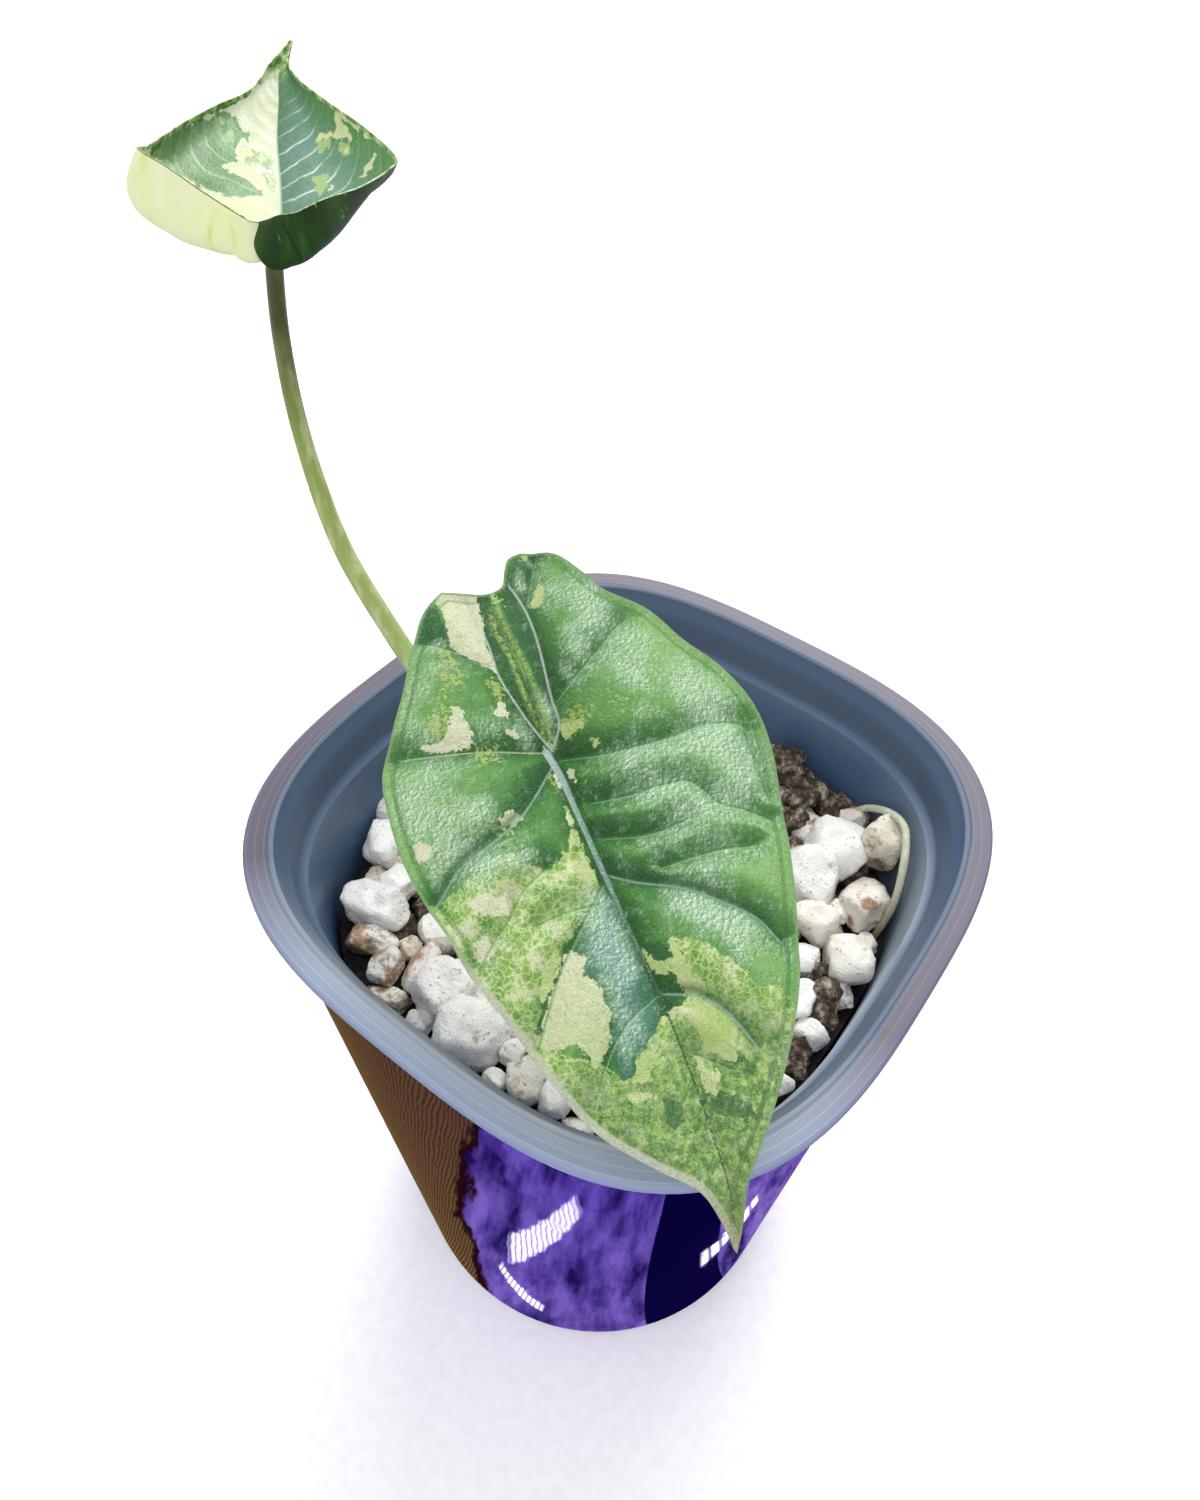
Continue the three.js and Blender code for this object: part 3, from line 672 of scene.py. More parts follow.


# %% [markdown]
# ## The bed: a dark core
#
# Between the stones the bed is nearly black: fine bark, painted near black as the shade deep
# between the stones. The core is one more shell of rings that fills the liner, with its top
# roughened point by point.

# %% Bed core
GAP = 0.3
BED_MIDDLE = 103.0
BED_EDGE = 106.5
CORE_SINK = 1.8
CORE_CRUMB_MM = 2.4
CORE_ROUGHNESS = 1.2


def liner_inner_half(z):
    floor = LINER_UNDERSIDE + LINER_WALL
    share = np.clip((z - floor) / (ledge - LINER_WALL - floor), 0, 1)
    return LINER_FLOOR_HALF + share * (THROAT_HALF - LINER_FLOOR_HALF)


core_floor = LINER_UNDERSIDE + LINER_WALL + GAP
core_edge = BED_EDGE - CORE_SINK
core_profile = [(15.0, core_floor), (liner_inner_half(core_floor) - 1.5, core_floor)]
core_profile += straight((liner_inner_half(core_floor) - 1.2, core_floor + 1),
                         (liner_inner_half(core_edge) - GAP - 0.2, core_edge), 12)
core_profile += straight(core_profile[-1], (0.5 * THROAT_HALF, BED_MIDDLE - CORE_SINK), 12)
core_profile += straight(core_profile[-1], (4.0, BED_MIDDLE - CORE_SINK), 8)
bed_core = shell_of_rings("bed_core", core_profile, 96, lambda z: SOFT_SQUARE)
points = points_in_mm(bed_core)
for point in points:
    if point[2] > BED_MIDDLE - CORE_SINK - 0.5:
        point[2] += CORE_ROUGHNESS * noise.fractal(Vector(point) / CORE_CRUMB_MM, 0.8, 2.0, 4)
move_points(bed_core, points)
smooth(bed_core, 60)

bark_in_shade, add = new_material("bark painted in shade")
place = add("TexCoord").outputs["Object"]
crumbs = add("TexNoise", {"Scale": PER_MM / 0.8, "Detail": 5.0}, {"Vector": place})
# Painted near black, as shade deep between the stones.
dark = add("ValToRGB", {"ramp": [(0.35, "#0c0a09"), (0.7, "#332a22")]}, {"Fac": crumbs})
crumble = add("Bump", {"Strength": 0.8, "Distance": 0.0005}, {"Height": crumbs})
close_material(add, {"Roughness": 0.9}, {"Base Color": dark, "Normal": crumble})
bed_core.data.materials.append(bark_in_shade)
hand_over(bed_core, "potting_mix", "potting_mix")

# %% [markdown]
# ## Stones and bark
#
# Pumice breaks into blunt, many-sided lumps and then wears round. A ball is added for each
# stone, and its points are drawn in to a few flat sides whose edges stay soft; small
# unevenness and pits follow at their real size. The stones that show in the photograph are
# placed one by one, with their sizes, and the rest are thrown at random, with a fixed seed,
# and kept where they clear the wall and each other.

# %% One stone
LUMP_MM = 2.6
PIT_SPACING = 1.1
PIT_DEPTH = 0.22
PIT_REACH = 0.45


def rough_stone(middle, sizes, turn, seed, softness=26, lumps=0.34, detail=4):
    """A stone with its middle, its three sizes and its turn, in millimetres and degrees."""
    clear_selection()
    bpy.ops.mesh.primitive_ico_sphere_add(subdivisions=detail, radius=MM)
    stone = bpy.context.active_object
    outward = points_in_mm(stone)
    outward /= np.linalg.norm(outward, axis=1)[:, None]
    dice = np.random.default_rng(seed)
    box = np.vstack([np.eye(3), -np.eye(3)]) + dice.normal(0, 0.22, (6, 3))
    sides = np.vstack([box, dice.normal(size=(5, 3))])
    sides /= np.linalg.norm(sides, axis=1)[:, None]
    depths = np.concatenate([dice.uniform(0.66, 0.86, 6), dice.uniform(0.78, 1.0, 5)])
    lean = np.clip(outward @ sides.T, 0, None) / depths
    reach = ((lean ** softness).sum(axis=1) + 1.1 ** -softness) ** (-1 / softness)
    shape = outward * reach[:, None]
    shape *= np.array(sizes) / np.ptp(shape, axis=0)
    drift = Vector(dice.uniform(-50, 50, 3))
    for point, direction in zip(shape, outward):
        spot = Vector(point) + drift
        swell = lumps * noise.fractal(spot / LUMP_MM, 0.8, 2.1, 5)
        cells, _ = noise.voronoi(spot / PIT_SPACING)
        pit = PIT_DEPTH * max(0.0, 1 - cells[0] / PIT_REACH)
        point += direction * (swell - pit)
    spin = np.array(Euler([math.radians(a) for a in turn]).to_matrix())
    move_points(stone, shape @ spin.T + np.array(middle))
    return stone


def pile(name, stones, material, tones):
    """Joins stones to one piece, with each stone's own tone kept on its points."""
    for stone, (warmth, stain) in zip(stones, tones):
        keep_values(stone, "warmth", np.full(len(stone.data.vertices), warmth))
        keep_values(stone, "stain", np.full(len(stone.data.vertices), stain))
    select_only(*stones)
    bpy.ops.object.join()
    piece = named_piece(name)
    smooth(piece, 50)
    piece.data.materials.append(material)
    hand_over(piece, "potting_mix", "potting_mix")


# %% [markdown]
# The visible stones, from the left corner round to the front, and then down the right side.
# Each line holds the middle, the three sizes, the turn about Z, how warm the stone's white
# is, and how much of it is stained brown.

# %% Stones that show
SHOWN_STONES = [
    ((-40.0, -12.5, 111.0), (4.5, 4.7, 4.9), 10, 0.2, 0.3),
    ((-37.0, -17.6, 109.0), (7.2, 8.1, 6.4), 30, 0.0, 0.0),
    ((-29.6, -21.6, 108.6), (4.9, 5.9, 4.9), 75, 0.0, 0.0),
    ((-33.6, -22.8, 106.8), (4.5, 4.5, 4.2), 0, 0.8, 0.5),
    ((-29.6, -27.2, 108.6), (11.7, 7.6, 7.0), 25, 0.0, 0.0),
    ((-26.0, -32.0, 107.4), (9.1, 4.9, 4.9), 40, 0.45, 0.8),
    ((-20.4, -33.8, 107.8), (5.1, 5.9, 5.3), 15, 0.5, 0.7),
    ((-16.0, -30.2, 107.4), (8.9, 5.1, 5.1), 95, 0.55, 0.35),
    ((-20.8, -28.2, 105.6), (4.2, 4.2, 3.8), 0, 0.9, 0.6),
    ((-10.2, -31.4, 108.2), (9.8, 9.1, 7.8), 60, 0.15, 0.25),
    ((-17.0, -37.0, 105.8), (7.4, 4.5, 4.5), 20, 0.5, 0.6),
    ((-10.4, -37.2, 106.8), (4.2, 3.6, 3.6), 20, 0.1, 0.1),
    ((-2.2, -34.6, 108.0), (11.2, 10.6, 8.3), 15, 0.05, 0.1),
    ((5.0, -37.4, 107.2), (4.0, 3.4, 3.4), 0, 0.1, 0.1),
    ((8.6, -34.4, 107.6), (6.6, 7.2, 5.5), 50, 0.6, 0.45),
    ((4.2, -32.4, 107.6), (3.6, 4.2, 3.8), 10, 0.1, 0.0),
    ((13.4, -33.8, 107.2), (4.9, 6.1, 4.7), 30, 0.0, 0.0),
    ((24.6, 29.6, 110.4), (11.6, 10.0, 8.7), 10, 0.05, 0.05),
    ((23.8, 21.6, 109.6), (10.3, 9.8, 8.4), 20, 0.1, 0.0),
    ((28.6, 15.0, 108.8), (8.4, 7.3, 6.6), 0, 0.55, 0.05),
    ((31.0, 19.6, 108.0), (3.9, 4.1, 3.9), 0, 0.2, 0.0),
    ((36.4, 12.6, 108.0), (7.3, 8.7, 6.8), 35, 0.4, 0.05),
    ((30.6, 8.4, 107.8), (5.0, 5.7, 4.8), 0, 0.0, 0.0),
    ((33.6, 1.4, 107.4), (5.2, 7.5, 5.2), 20, 0.0, 0.0),
    ((31.4, 32.6, 114.2), (7.5, 7.1, 10.9), 10, 0.7, 0.5),
    ((33.4, 22.8, 109.0), (7.8, 8.2, 7.3), 60, 0.6, 0.45),
    ((24.0, 36.4, 110.6), (5.7, 4.6, 4.6), 30, 0.5, 0.3),
]
SHOWN_BARK = [
    ((8.6, 38.4, 112.6), (6.6, 6.0, 5.6), 20),
    ((14.0, 37.0, 110.2), (8.0, 6.8, 6.0), 70),
    ((20.2, 38.2, 109.4), (7.2, 5.6, 5.4), 10),
    ((14.6, 31.6, 107.6), (7.0, 6.0, 5.0), 40),
    ((33.6, 8.4, 106.6), (5.8, 5.0, 4.6), 20),
    ((36.8, 2.6, 107.0), (6.6, 8.0, 5.6), 0),
    ((37.6, -6.6, 106.4), (5.0, 6.4, 5.0), 30),
    ((-38.0, -4.0, 106.4), (6.0, 6.0, 5.0), 0),
]

shown = [rough_stone(middle, sizes, (0, 0, turn), seed=200 + number)
         for number, (middle, sizes, turn, _, _) in enumerate(SHOWN_STONES)]
tones = [(warmth, stain) for *_, warmth, stain in SHOWN_STONES]
print("stones placed by hand:", len(shown))

# %% Stones thrown at random
THROWS = 5000
SMALLEST, LARGEST = 4.6, 8.4
CROWDING = 0.713
WALL_SHARE = 0.55
BARK_SHARE = 0.16
# The stem base and the long stalk stand among the stones, so their places come first.
CORM_MIDDLE = (-1.0, 0.0, 106.0)
CORM_RADIUS = 5.5
TALL_STALK = [(-5.7, -0.5, 109.6), (-15, -1.7, 117), (-27, -3.2, 128), (-35, -4.2, 136.5),
              (-41.8, -4.8, 145.4), (-48.9, -5.8, 158.4), (-52.5, -6.3, 175.6),
              (-52.8, -6.3, 189), (-51.6, -6.2, 198), (-51.4, -6.15, 198.95)]

dice = np.random.default_rng(23)
taken = [(np.array(middle), max(sizes) / 2) for middle, sizes, *_ in SHOWN_STONES + SHOWN_BARK]
taken += [(np.array(CORM_MIDDLE), CORM_RADIUS + 0.5), (np.array(TALL_STALK[0]), 3.0)]
thrown, thrown_tones, thrown_bark = [], [], []
for _ in range(THROWS):
    size = dice.uniform(SMALLEST, LARGEST)
    x, y = dice.uniform(-THROAT_HALF, THROAT_HALF, 2)
    half = half_width(x, y)
    rise = (BED_EDGE - BED_MIDDLE) * (half / THROAT_HALF) ** 2
    middle = np.array([x, y, BED_MIDDLE + rise + dice.uniform(-0.5, 1.6)])
    clears = all(np.linalg.norm(middle - other) > CROWDING * (reach + size / 2)
                 for other, reach in taken)
    if not clears or half + WALL_SHARE * size > liner_inner_half(BED_EDGE) - GAP:
        continue
    taken.append((middle, size / 2))
    sizes = size * dice.uniform(0.75, 1.1, 3)
    turn = dice.uniform(0, 360, 3)
    seed = int(dice.integers(1e6))
    if dice.random() < BARK_SHARE:
        thrown_bark.append(rough_stone(middle, sizes, turn, seed, 9, 1.2, detail=3))
    else:
        thrown.append(rough_stone(middle, sizes, turn, seed, detail=3))
        thrown_tones.append((dice.uniform(0, 0.6), dice.choice([0.0, 0.1, 0.5])))
print("stones thrown:", len(thrown), "and bark:", len(thrown_bark))

# %% [markdown]
# Pumice is frothy volcanic glass: matt, nearly white, with pits and a few dark mineral
# specks, and warm or rusty where iron water dried on it. Composted bark is dark and rough,
# with paler crumbs on its high spots.

# %% Pumice and bark finishes
pumice, add = new_material("washed pumice")
place = add("TexCoord").outputs["Object"]
warmth = add("Attribute", {"attribute_name": "warmth"}).outputs["Fac"]
stain = add("Attribute", {"attribute_name": "stain"}).outputs["Fac"]
mottle = add("TexNoise", {"Scale": PER_MM / 3.0, "Detail": 5.0, "Roughness": 0.6}, {"Vector": place})
fine = add("TexNoise", {"Scale": PER_MM / 0.45, "Detail": 3.0}, {"Vector": place})
white = add("ValToRGB", {"ramp": [(0.3, "#e4e2df"), (0.6, "#fbfaf8")]}, {"Fac": mottle})
cream = add("ValToRGB", {"ramp": [(0.3, "#c4b598"), (0.62, "#efe8d8")]}, {"Fac": mottle})
blotch = add("TexNoise", {"Scale": PER_MM / 3.6, "Detail": 4.0},
             {"Vector": add("VectorMath", {"operation": "ADD", 1: (0.3, 0.1, 0.2)}, {0: place})})
rust_level = add("Math", {"operation": "MULTIPLY_ADD", 1: 0.3, 2: -0.66}, {0: stain})
rust_sum = add("Math", {"operation": "ADD"}, {0: blotch, 1: rust_level})
rust = add("MapRange", {"From Min": 0.02, "From Max": 0.12, "To Max": 0.8}, {"Value": rust_sum})
rust_tint = add("ValToRGB", {"ramp": [(0.35, "#6a4526"), (0.6, "#b9803f")]}, {"Fac": fine})
grime = add("TexNoise", {"Scale": PER_MM / 1.5, "Detail": 6.0, "Roughness": 0.75}, {"Vector": place})
grime_and_low_level = add("Math", {"operation": "MULTIPLY_ADD", 1: 0.12}, {0: stain, 2: grime})
# Besides the grime, the stones are darker towards the bottom of the bed.
low_down = add("MapRange", {"From Min": 108.5 * MM, "From Max": 104.5 * MM, "To Max": 0.12},
               {"Value": add("SeparateXYZ", {}, {"Vector": place}).outputs["Z"]})
grime_and_low_level = add("Math", {"operation": "ADD"}, {0: grime_and_low_level, 1: low_down})
grime_and_low_mask = add("MapRange", {"From Min": 0.6, "From Max": 0.68, "To Max": 0.6}, {"Value": grime_and_low_level})
specks = add("TexVoronoi", {"Scale": PER_MM / 1.5}, {"Vector": place})
speck = add("MapRange", {"From Min": 0.13, "From Max": 0.07, "To Max": 0.8}, {"Value": specks})
colour = paint_over(add, white, [
    (warmth, cream),
    (rust, rust_tint),
    (grime_and_low_mask, "#5a4c3c"),
    (speck, "#4c443c"),
])
rough = add("Math", {"operation": "MULTIPLY_ADD", 1: 2.5}, {0: mottle, 2: fine})
froth = add("Bump", {"Strength": 0.85, "Distance": 0.0003}, {"Height": rough})
close_material(add, {"Roughness": 0.85}, {"Base Color": colour, "Normal": froth})

bark, add = new_material("composted bark")
place = add("TexCoord").outputs["Object"]
lumpy = add("TexNoise", {"Scale": PER_MM / 1.8, "Detail": 6.0, "Roughness": 0.7}, {"Vector": place})
brown = add("ValToRGB", {"ramp": [(0.35, "#17110c"), (0.48, "#4a3c30"), (0.56, "#827464"),
                                  (0.65, "#c2b6a4")]}, {"Fac": lumpy})
rough_bark = add("Bump", {"Distance": 0.0006}, {"Height": lumpy})
close_material(add, {"Roughness": 0.8}, {"Base Color": brown, "Normal": rough_bark})

pile("shown_stones", shown, pumice, tones)
pile("thrown_stones", thrown, pumice, thrown_tones)
shown_bark = [rough_stone(middle, sizes, (20, 0, turn), 400 + number, 9, 1.5)
              for number, (middle, sizes, turn) in enumerate(SHOWN_BARK)]
chunks = shown_bark + thrown_bark
pile("bark_chunks", chunks, bark, [(0, 0)] * len(chunks))

# %% [markdown]
# ## Stalks, a root and the stem base
#
# A stalk is the same kind of shell as a pot: a ring that is pulled along. It is first drawn
# straight up, with the stalk's length as its height. Then each point is carried over to the
# bent line that the stalk follows, with two directions across the line that turn as little
# as they can on the way.

# %% Shells that follow a line
def line_frames(stops, count=240):
    """Places along a smooth line, even by length, and two directions across it at each."""
    places = smooth_line(stops, np.linspace(0, 1, count), even=True)
    along = np.gradient(places, axis=0)
    along /= np.linalg.norm(along, axis=1)[:, None]
    across = np.zeros_like(along)
    guess = np.array([0.3, 1.0, 0.2])
    for number, direction in enumerate(along):
        guess = guess - (guess @ direction) * direction
        guess /= np.linalg.norm(guess)
        across[number] = guess
    return places, across, np.cross(along, across)


def stalk_along(name, stops, radii, sides, rings):
    """A closed stalk along a line, whose radii are spread evenly from its foot to its top."""
    places, across, other = line_frames(stops)
    length = np.linalg.norm(np.diff(places, axis=0), axis=1).sum()
    shares = np.linspace(0, 1, rings + 1)
    widths = np.interp(shares, np.linspace(0, 1, len(radii)), radii)
    profile = [(0.45 * widths[0], 0.0), (0.85 * widths[0], 0.25 * widths[0])]
    profile += list(zip(widths, shares * length))[1:-1]
    profile += [(0.85 * widths[-1], length - 0.15 * widths[-1]), (0.45 * widths[-1], length)]
    piece = shell_of_rings(name, profile, sides, lambda z: ROUND)
    points = points_in_mm(piece)
    steps = points[:, 2] / length * (len(places) - 1)

    def there(values):
        counts = np.arange(len(values))
        return np.stack([np.interp(steps, counts, column) for column in values.T], axis=1)

    keep_values(piece, "along", points[:, 2] / length)
    move_points(piece, there(places) + there(across) * points[:, :1] + there(other) * points[:, 1:2])
    smooth(piece, 50)
    print(f"{name}: {length:.0f} mm long")
    return piece


# %% Stalks and root
FRONT_STALK = [(-0.2, -2, 111.6), (1.4, -6.5, 124), (1.2, -12.5, 140), (-0.6, -16.1, 153.6)]
ROOT = [(21, 36.4, 103), (22.6, 37.6, 109), (25.4, 37.2, 114.2), (30.6, 34.6, 119),
        (33.4, 32.2, 120.2), (35.2, 29.6, 119), (36.8, 26.4, 116), (37.8, 23.4, 112.5),
        (37.6, 21.8, 107.5), (37, 20.6, 103)]

front_stalk = stalk_along("front_stalk_tube", FRONT_STALK,
                          [2.9, 2.3, 2.0, 1.8, 1.6, 1.45, 1.4], 32, 60)
tall_stalk = stalk_along("tall_stalk_tube", TALL_STALK,
                         [2.6, 2.0, 1.85, 1.7, 1.55, 1.45, 1.35, 1.2, 1.1, 1.05], 32, 110)
surface_root = stalk_along("surface_root_strand", ROOT,
                           [0.6, 0.7, 0.62, 0.66, 0.6, 0.68, 0.6, 0.64, 0.55], 20, 90)

# %% Stem base
SCAR_PHASES = 26
SCAR_DEPTH = 0.035
TOP_TAPER = 0.12

clear_selection()
bpy.ops.mesh.primitive_uv_sphere_add(segments=72, ring_count=48, radius=CORM_RADIUS * MM)
corm = named_piece("corm_body")
points = points_in_mm(corm)
height = points[:, 2] / CORM_RADIUS
scars = 1 + SCAR_DEPTH * np.cos(SCAR_PHASES * height) - TOP_TAPER * np.clip(height, 0, 1) ** 2
points[:, :2] *= scars[:, None]
for point in points:
    point += 0.12 * noise.fractal(Vector(point) / 1.5, 0.9, 2.0, 3) * np.array([1, 1, 0.3])
move_points(corm, points + np.array(CORM_MIDDLE))
smooth(corm, 50)

# %% [markdown]
# The stalks are pale green, a little olive near the leaf and marbled towards the foot. The
# root is cream, with a browner skin where it dips into the stones, and the stem base is
# wrapped in dry brown-green scale leaves.

# %% Stalk, root and stem base finishes
def skin(name, place_ramp, streak_tint, streak_mm, roughness):
    """A plant's skin: tints along the stalk, with streaks over them."""
    material, add = new_material(name)
    place = add("TexCoord").outputs["Object"]
    along = add("Attribute", {"attribute_name": "along"}).outputs["Fac"]
    tint = add("ValToRGB", {"ramp": place_ramp}, {"Fac": along})
    squeeze = add("Mapping", {"Scale": (1.0, 1.0, 0.22)}, {"Vector": place})
    streaks = add("TexNoise", {"Scale": PER_MM / streak_mm, "Detail": 4.0}, {"Vector": squeeze})
    most = add("MapRange", {"From Min": 0.75, "From Max": 0.92, "To Min": 0.75, "To Max": 0.1},
               {"Value": along})
    mask = add("MapRange", {"From Min": 0.5, "From Max": 0.68}, {"Value": streaks, "To Max": most})
    colour = paint_over(add, tint, [(mask, streak_tint)])
    grain = add("Bump", {"Strength": 0.3, "Distance": 0.0001}, {"Height": streaks})
    close_material(add, {"Roughness": roughness, "Subsurface Weight": 0.15,
                         "Subsurface Radius": (0.002, 0.002, 0.001)},
                   {"Base Color": colour, "Normal": grain})
    return material


stalk_skin = skin("stalk skin", [(0.0, "#97ab66"), (0.45, "#a3b76d"), (0.76, "#8a9c4e"),
                                 (0.86, "#66742f"), (0.93, "#414a18")], "#c3cf9a", 1.4, 0.38)
root_skin = skin("root skin", [(0.0, "#8d8568"), (0.2, "#bcc0a4"), (0.6, "#cdd2ba"), (1.0, "#857552")],
                 "#e2e5d3", 0.8, 0.6)
scale_skin = skin("dry scale leaf skin", [(0.0, "#5b4f2e"), (1.0, "#6b6236")], "#a0925a", 1.0, 0.7)
for piece, material, slot, solid in (
        (front_stalk, stalk_skin, "stalk", "front_stalk"),
        (tall_stalk, stalk_skin, "stalk", "tall_stalk"),
        (surface_root, root_skin, "root", "surface_root"),
        (corm, scale_skin, "corm", "corm")):
    piece.data.materials.append(material)
    hand_over(piece, slot, solid)

# %% [markdown]
# ## Measuring on a leaf
#
# A leaf's veins, patches and margin are all drawn as lines on it, in millimetres. What a
# point needs to know is how far it is from a line, and, for a closed patch, on which side of
# its edge it lies. A few functions answer that for all points of a leaf at once.

# %% Distances on a leaf
def beside_line(points, line):
    """Distance to a line, below zero on its right-hand side, so that it passes zero smoothly."""
    nearest = np.full(len(points), np.inf)
    sides = np.zeros(len(points))
    for start, end in zip(line, line[1:]):
        along = end - start
        reach = points - start
        share = np.clip(reach @ along / max(along @ along, 1e-9), 0, 1)
        gap = np.linalg.norm(reach - share[:, None] * along, axis=1)
        closer = gap < nearest
        turn = np.sign(along[0] * reach[:, 1] - along[1] * reach[:, 0])
        sides = np.where(closer, np.where(turn == 0, 1, turn), sides)
        nearest = np.where(closer, gap, nearest)
    return nearest * sides


def distance_to_line(points, line):
    return np.abs(beside_line(points, line))


def depth_in_patch(points, outline):
    """Distance to a patch's edge: above zero inside the patch, below zero outside it."""
    corners = np.array(outline + outline[:1], float)
    x, y = points.T
    inside = np.zeros(len(points), bool)
    for (x0, y0), (x1, y1) in zip(corners, corners[1:]):
        if y0 == y1:
            continue
        crosses = (y0 > y) != (y1 > y)
        inside ^= crosses & (x < (x1 - x0) * (y - y0) / (y1 - y0) + x0)
    gap = distance_to_line(points, corners)
    return np.where(inside, gap, -gap)


def depth_in_patches(points, outlines):
    """Depth in whichever patch a point lies deepest in."""
    return np.max([depth_in_patch(points, outline) for outline in outlines], axis=0)


# %% [markdown]
# ## The front leaf: outline, veins and swell
#
# The blade is a fine grid that is drawn between two edges, from the lobes to the tip. Its
# height over its own plane has the leaf's character: low shoulders beside the midrib, edges
# that droop, a dimple over the stalk, panels that swell between sunken veins, and a sharp
# crease in each vein.

# %% Front leaf lines
LEAF_PLACE = (-1.2, -16.5, 157.3)
LEAF_HEADING = -30.4
LEAF_TIP_DROP = 15.0
LEAF_SIDE_LIFT = 7.0
LEAF_ROWS = 236
LEAF_COLUMNS = 140
TOP_EDGE = [(-27.4, -5.8), (-27, -2.6), (-25.9, 0.5), (-26.5, 2.3), (-28.5, 3.4), (-30, 4.5),
            (-30.4, 6.4)]
LEFT_EDGE = [(-27.4, -5.8), (-24.5, -9), (-20, -11.8), (-14, -14.6), (-8.5, -17.8), (-3.5, -20.5),
             (3, -21.3), (10, -21), (17, -19.3), (24, -17.7), (31, -15.3), (38, -13.1),
             (44, -10.3), (49, -6), (53, -2.2), (57, -1.1), (59.5, -0.8)]
RIGHT_EDGE = [(-30.4, 6.4), (-28.9, 10), (-24, 12.7), (-20, 14.2), (-15, 18.7), (-9, 21.4),
              (-3.5, 24.8), (3, 26.7), (9, 26.2), (16, 24.2), (22, 22.4), (29, 19.9), (36, 17),
              (42.5, 12.8), (49, 7.3), (53.5, 3), (57, 0.9), (59.5, -0.8)]
MIDRIB = [(-1.1, -0.4), (2.5, 0.1), (9, 0.2), (16.1, 0.4), (21.5, 0.7), (26.2, 1), (31.4, 1.3),
          (36.8, 1.4), (42, 1.4), (48.1, 1.2), (53.9, 0.8), (59, -0.6)]
LEFT_LOBE_RIB = [(-1.2, 0.4), (-6.7, -1.5), (-12.8, -2.7), (-18.1, -2.4), (-25.6, -3)]
RIGHT_LOBE_RIB = [(-1.2, 0.4), (-3.7, 2.3), (-7.5, 2.6), (-16, 3.7), (-21, 3.9), (-26.2, 3.4)]
PALE_RIB = [(-1.1, -0.4), (-1.7, -4.4), (-3.3, -11.5), (-5.1, -17.6)]
BROAD_RIBS = [
    [(1.2, -0.5), (7, -6.2), (9, -10.2), (10, -13.6), (11.1, -16), (12.9, -18.1), (13.6, -19.2)],
    [(17.4, 1), (19.5, 3.8), (21.9, 8.2), (24.2, 11.2), (28.2, 15.4), (31.4, 16.8)],
    [(32.3, 2), (34.2, 5.7), (37.2, 7.9), (41.4, 9.5)],
]
SIDE_RIBS = [
    [(-14.3, -3.2), (-16.3, -5.9), (-18.1, -7.2), (-20.3, -9.9)],
    [(-22.2, 4.4), (-28.8, 7.9)],
    [(-6.9, 3.3), (-9.8, 8.1), (-11.6, 10.8), (-14.2, 14.2)],
    [(0.5, 1.2), (2.8, 6.7), (3.5, 13.5), (3, 18.7), (3.4, 22.2), (4.2, 24), (7.9, 24), (14.1, 23.4)],
    [(7.8, 2.3), (9, 6.6), (9.2, 11.2), (9.6, 14.1), (11.5, 15.6), (13.3, 16.6), (15, 19.4),
     (17.2, 22.2)],
    [(12.7, 2), (14.4, 6.7), (14.4, 11.3)],
    [(18.7, 7.3), (18.9, 14), (19.6, 18.6)],
    [(39.3, 2.5), (42.2, 5.7)],
    [(14.2, -5.9), (15.9, -9.3), (18.3, -11.8), (19.8, -13.9), (22.2, -16.7)],
    [(19.9, -1.8), (19.9, -6), (20.2, -9.1)],
    [(18.1, -0.4), (21.7, -4.1), (26.3, -8.6), (30.4, -11.7), (32.8, -13.5)],
    [(31.9, 1), (33.4, -2.8), (35, -5.1), (36.9, -7), (40.9, -10)],
]


def beside_ribs(points, ribs):
    """Signed distance from each point to the nearest of some ribs."""
    gaps = np.array([beside_line(points, smooth_line(rib, np.linspace(0, 1, 6 * len(rib))))
                     for rib in ribs])
    nearest = np.abs(gaps).argmin(axis=0)
    return gaps[nearest, np.arange(len(points))]


# %% A blade's grid and its thickness
def grid_of(name, rows, columns):
    """A grid piece, and how far each of its points lies along and across it, from 0 to 1."""
    clear_selection()
    bpy.ops.mesh.primitive_grid_add(x_subdivisions=rows, y_subdivisions=columns, size=2 * MM)
    piece = named_piece(name)
    shares = (points_in_mm(piece)[:, :2] + 1) / 2
    return piece, shares


def thicken(piece, thickness):
    """Gives a blade its underside, which is nearer where the share that a point keeps is smaller."""
    select_only(piece)
    bpy.ops.object.mode_set(mode="EDIT")
    bpy.ops.mesh.select_all(action="SELECT")
    bpy.ops.mesh.remove_doubles(threshold=1e-7)
    bpy.ops.object.mode_set(mode="OBJECT")
    group = piece.vertex_groups.new(name="thickness")
    flat = np.empty(len(piece.data.vertices), np.float32)
    piece.data.attributes["thickness_share"].data.foreach_get("value", flat)
    for number, share in enumerate(flat):
        group.add([number], float(share), "REPLACE")
    apply_modifier(piece, "SOLIDIFY", thickness=thickness * MM, offset=-1, use_rim=True,
                   vertex_group="thickness", thickness_vertex_group=0.0, material_offset=1,
                   material_offset_rim=0)
    piece.vertex_groups.clear()
    smooth(piece, 60)


# %% Front leaf blade
SHOULDER_RISE, SHOULDER_OFF = 2.6, 5.0
SIDE_DROOP, TIP_DROOP, LOBE_DROOP = 0.0062, 0.0016, 0.004
DIMPLE_DEPTH = 2.0
PANEL_SWELL, PANEL_OFF = 1.1, 2.3
CREASE_DEPTH, CREASE_WIDTH = 0.3, 0.5
RIM_RISE, RIM_WIDTH = 0.16, 0.5
GROOVE_DEPTH, GROOVE_OFF, GROOVE_WIDTH = 0.2, 1.1, 0.45
FRONT_THICKNESS = 0.9
THIN_SHARE, RIM_SHARE = 0.62, 0.35

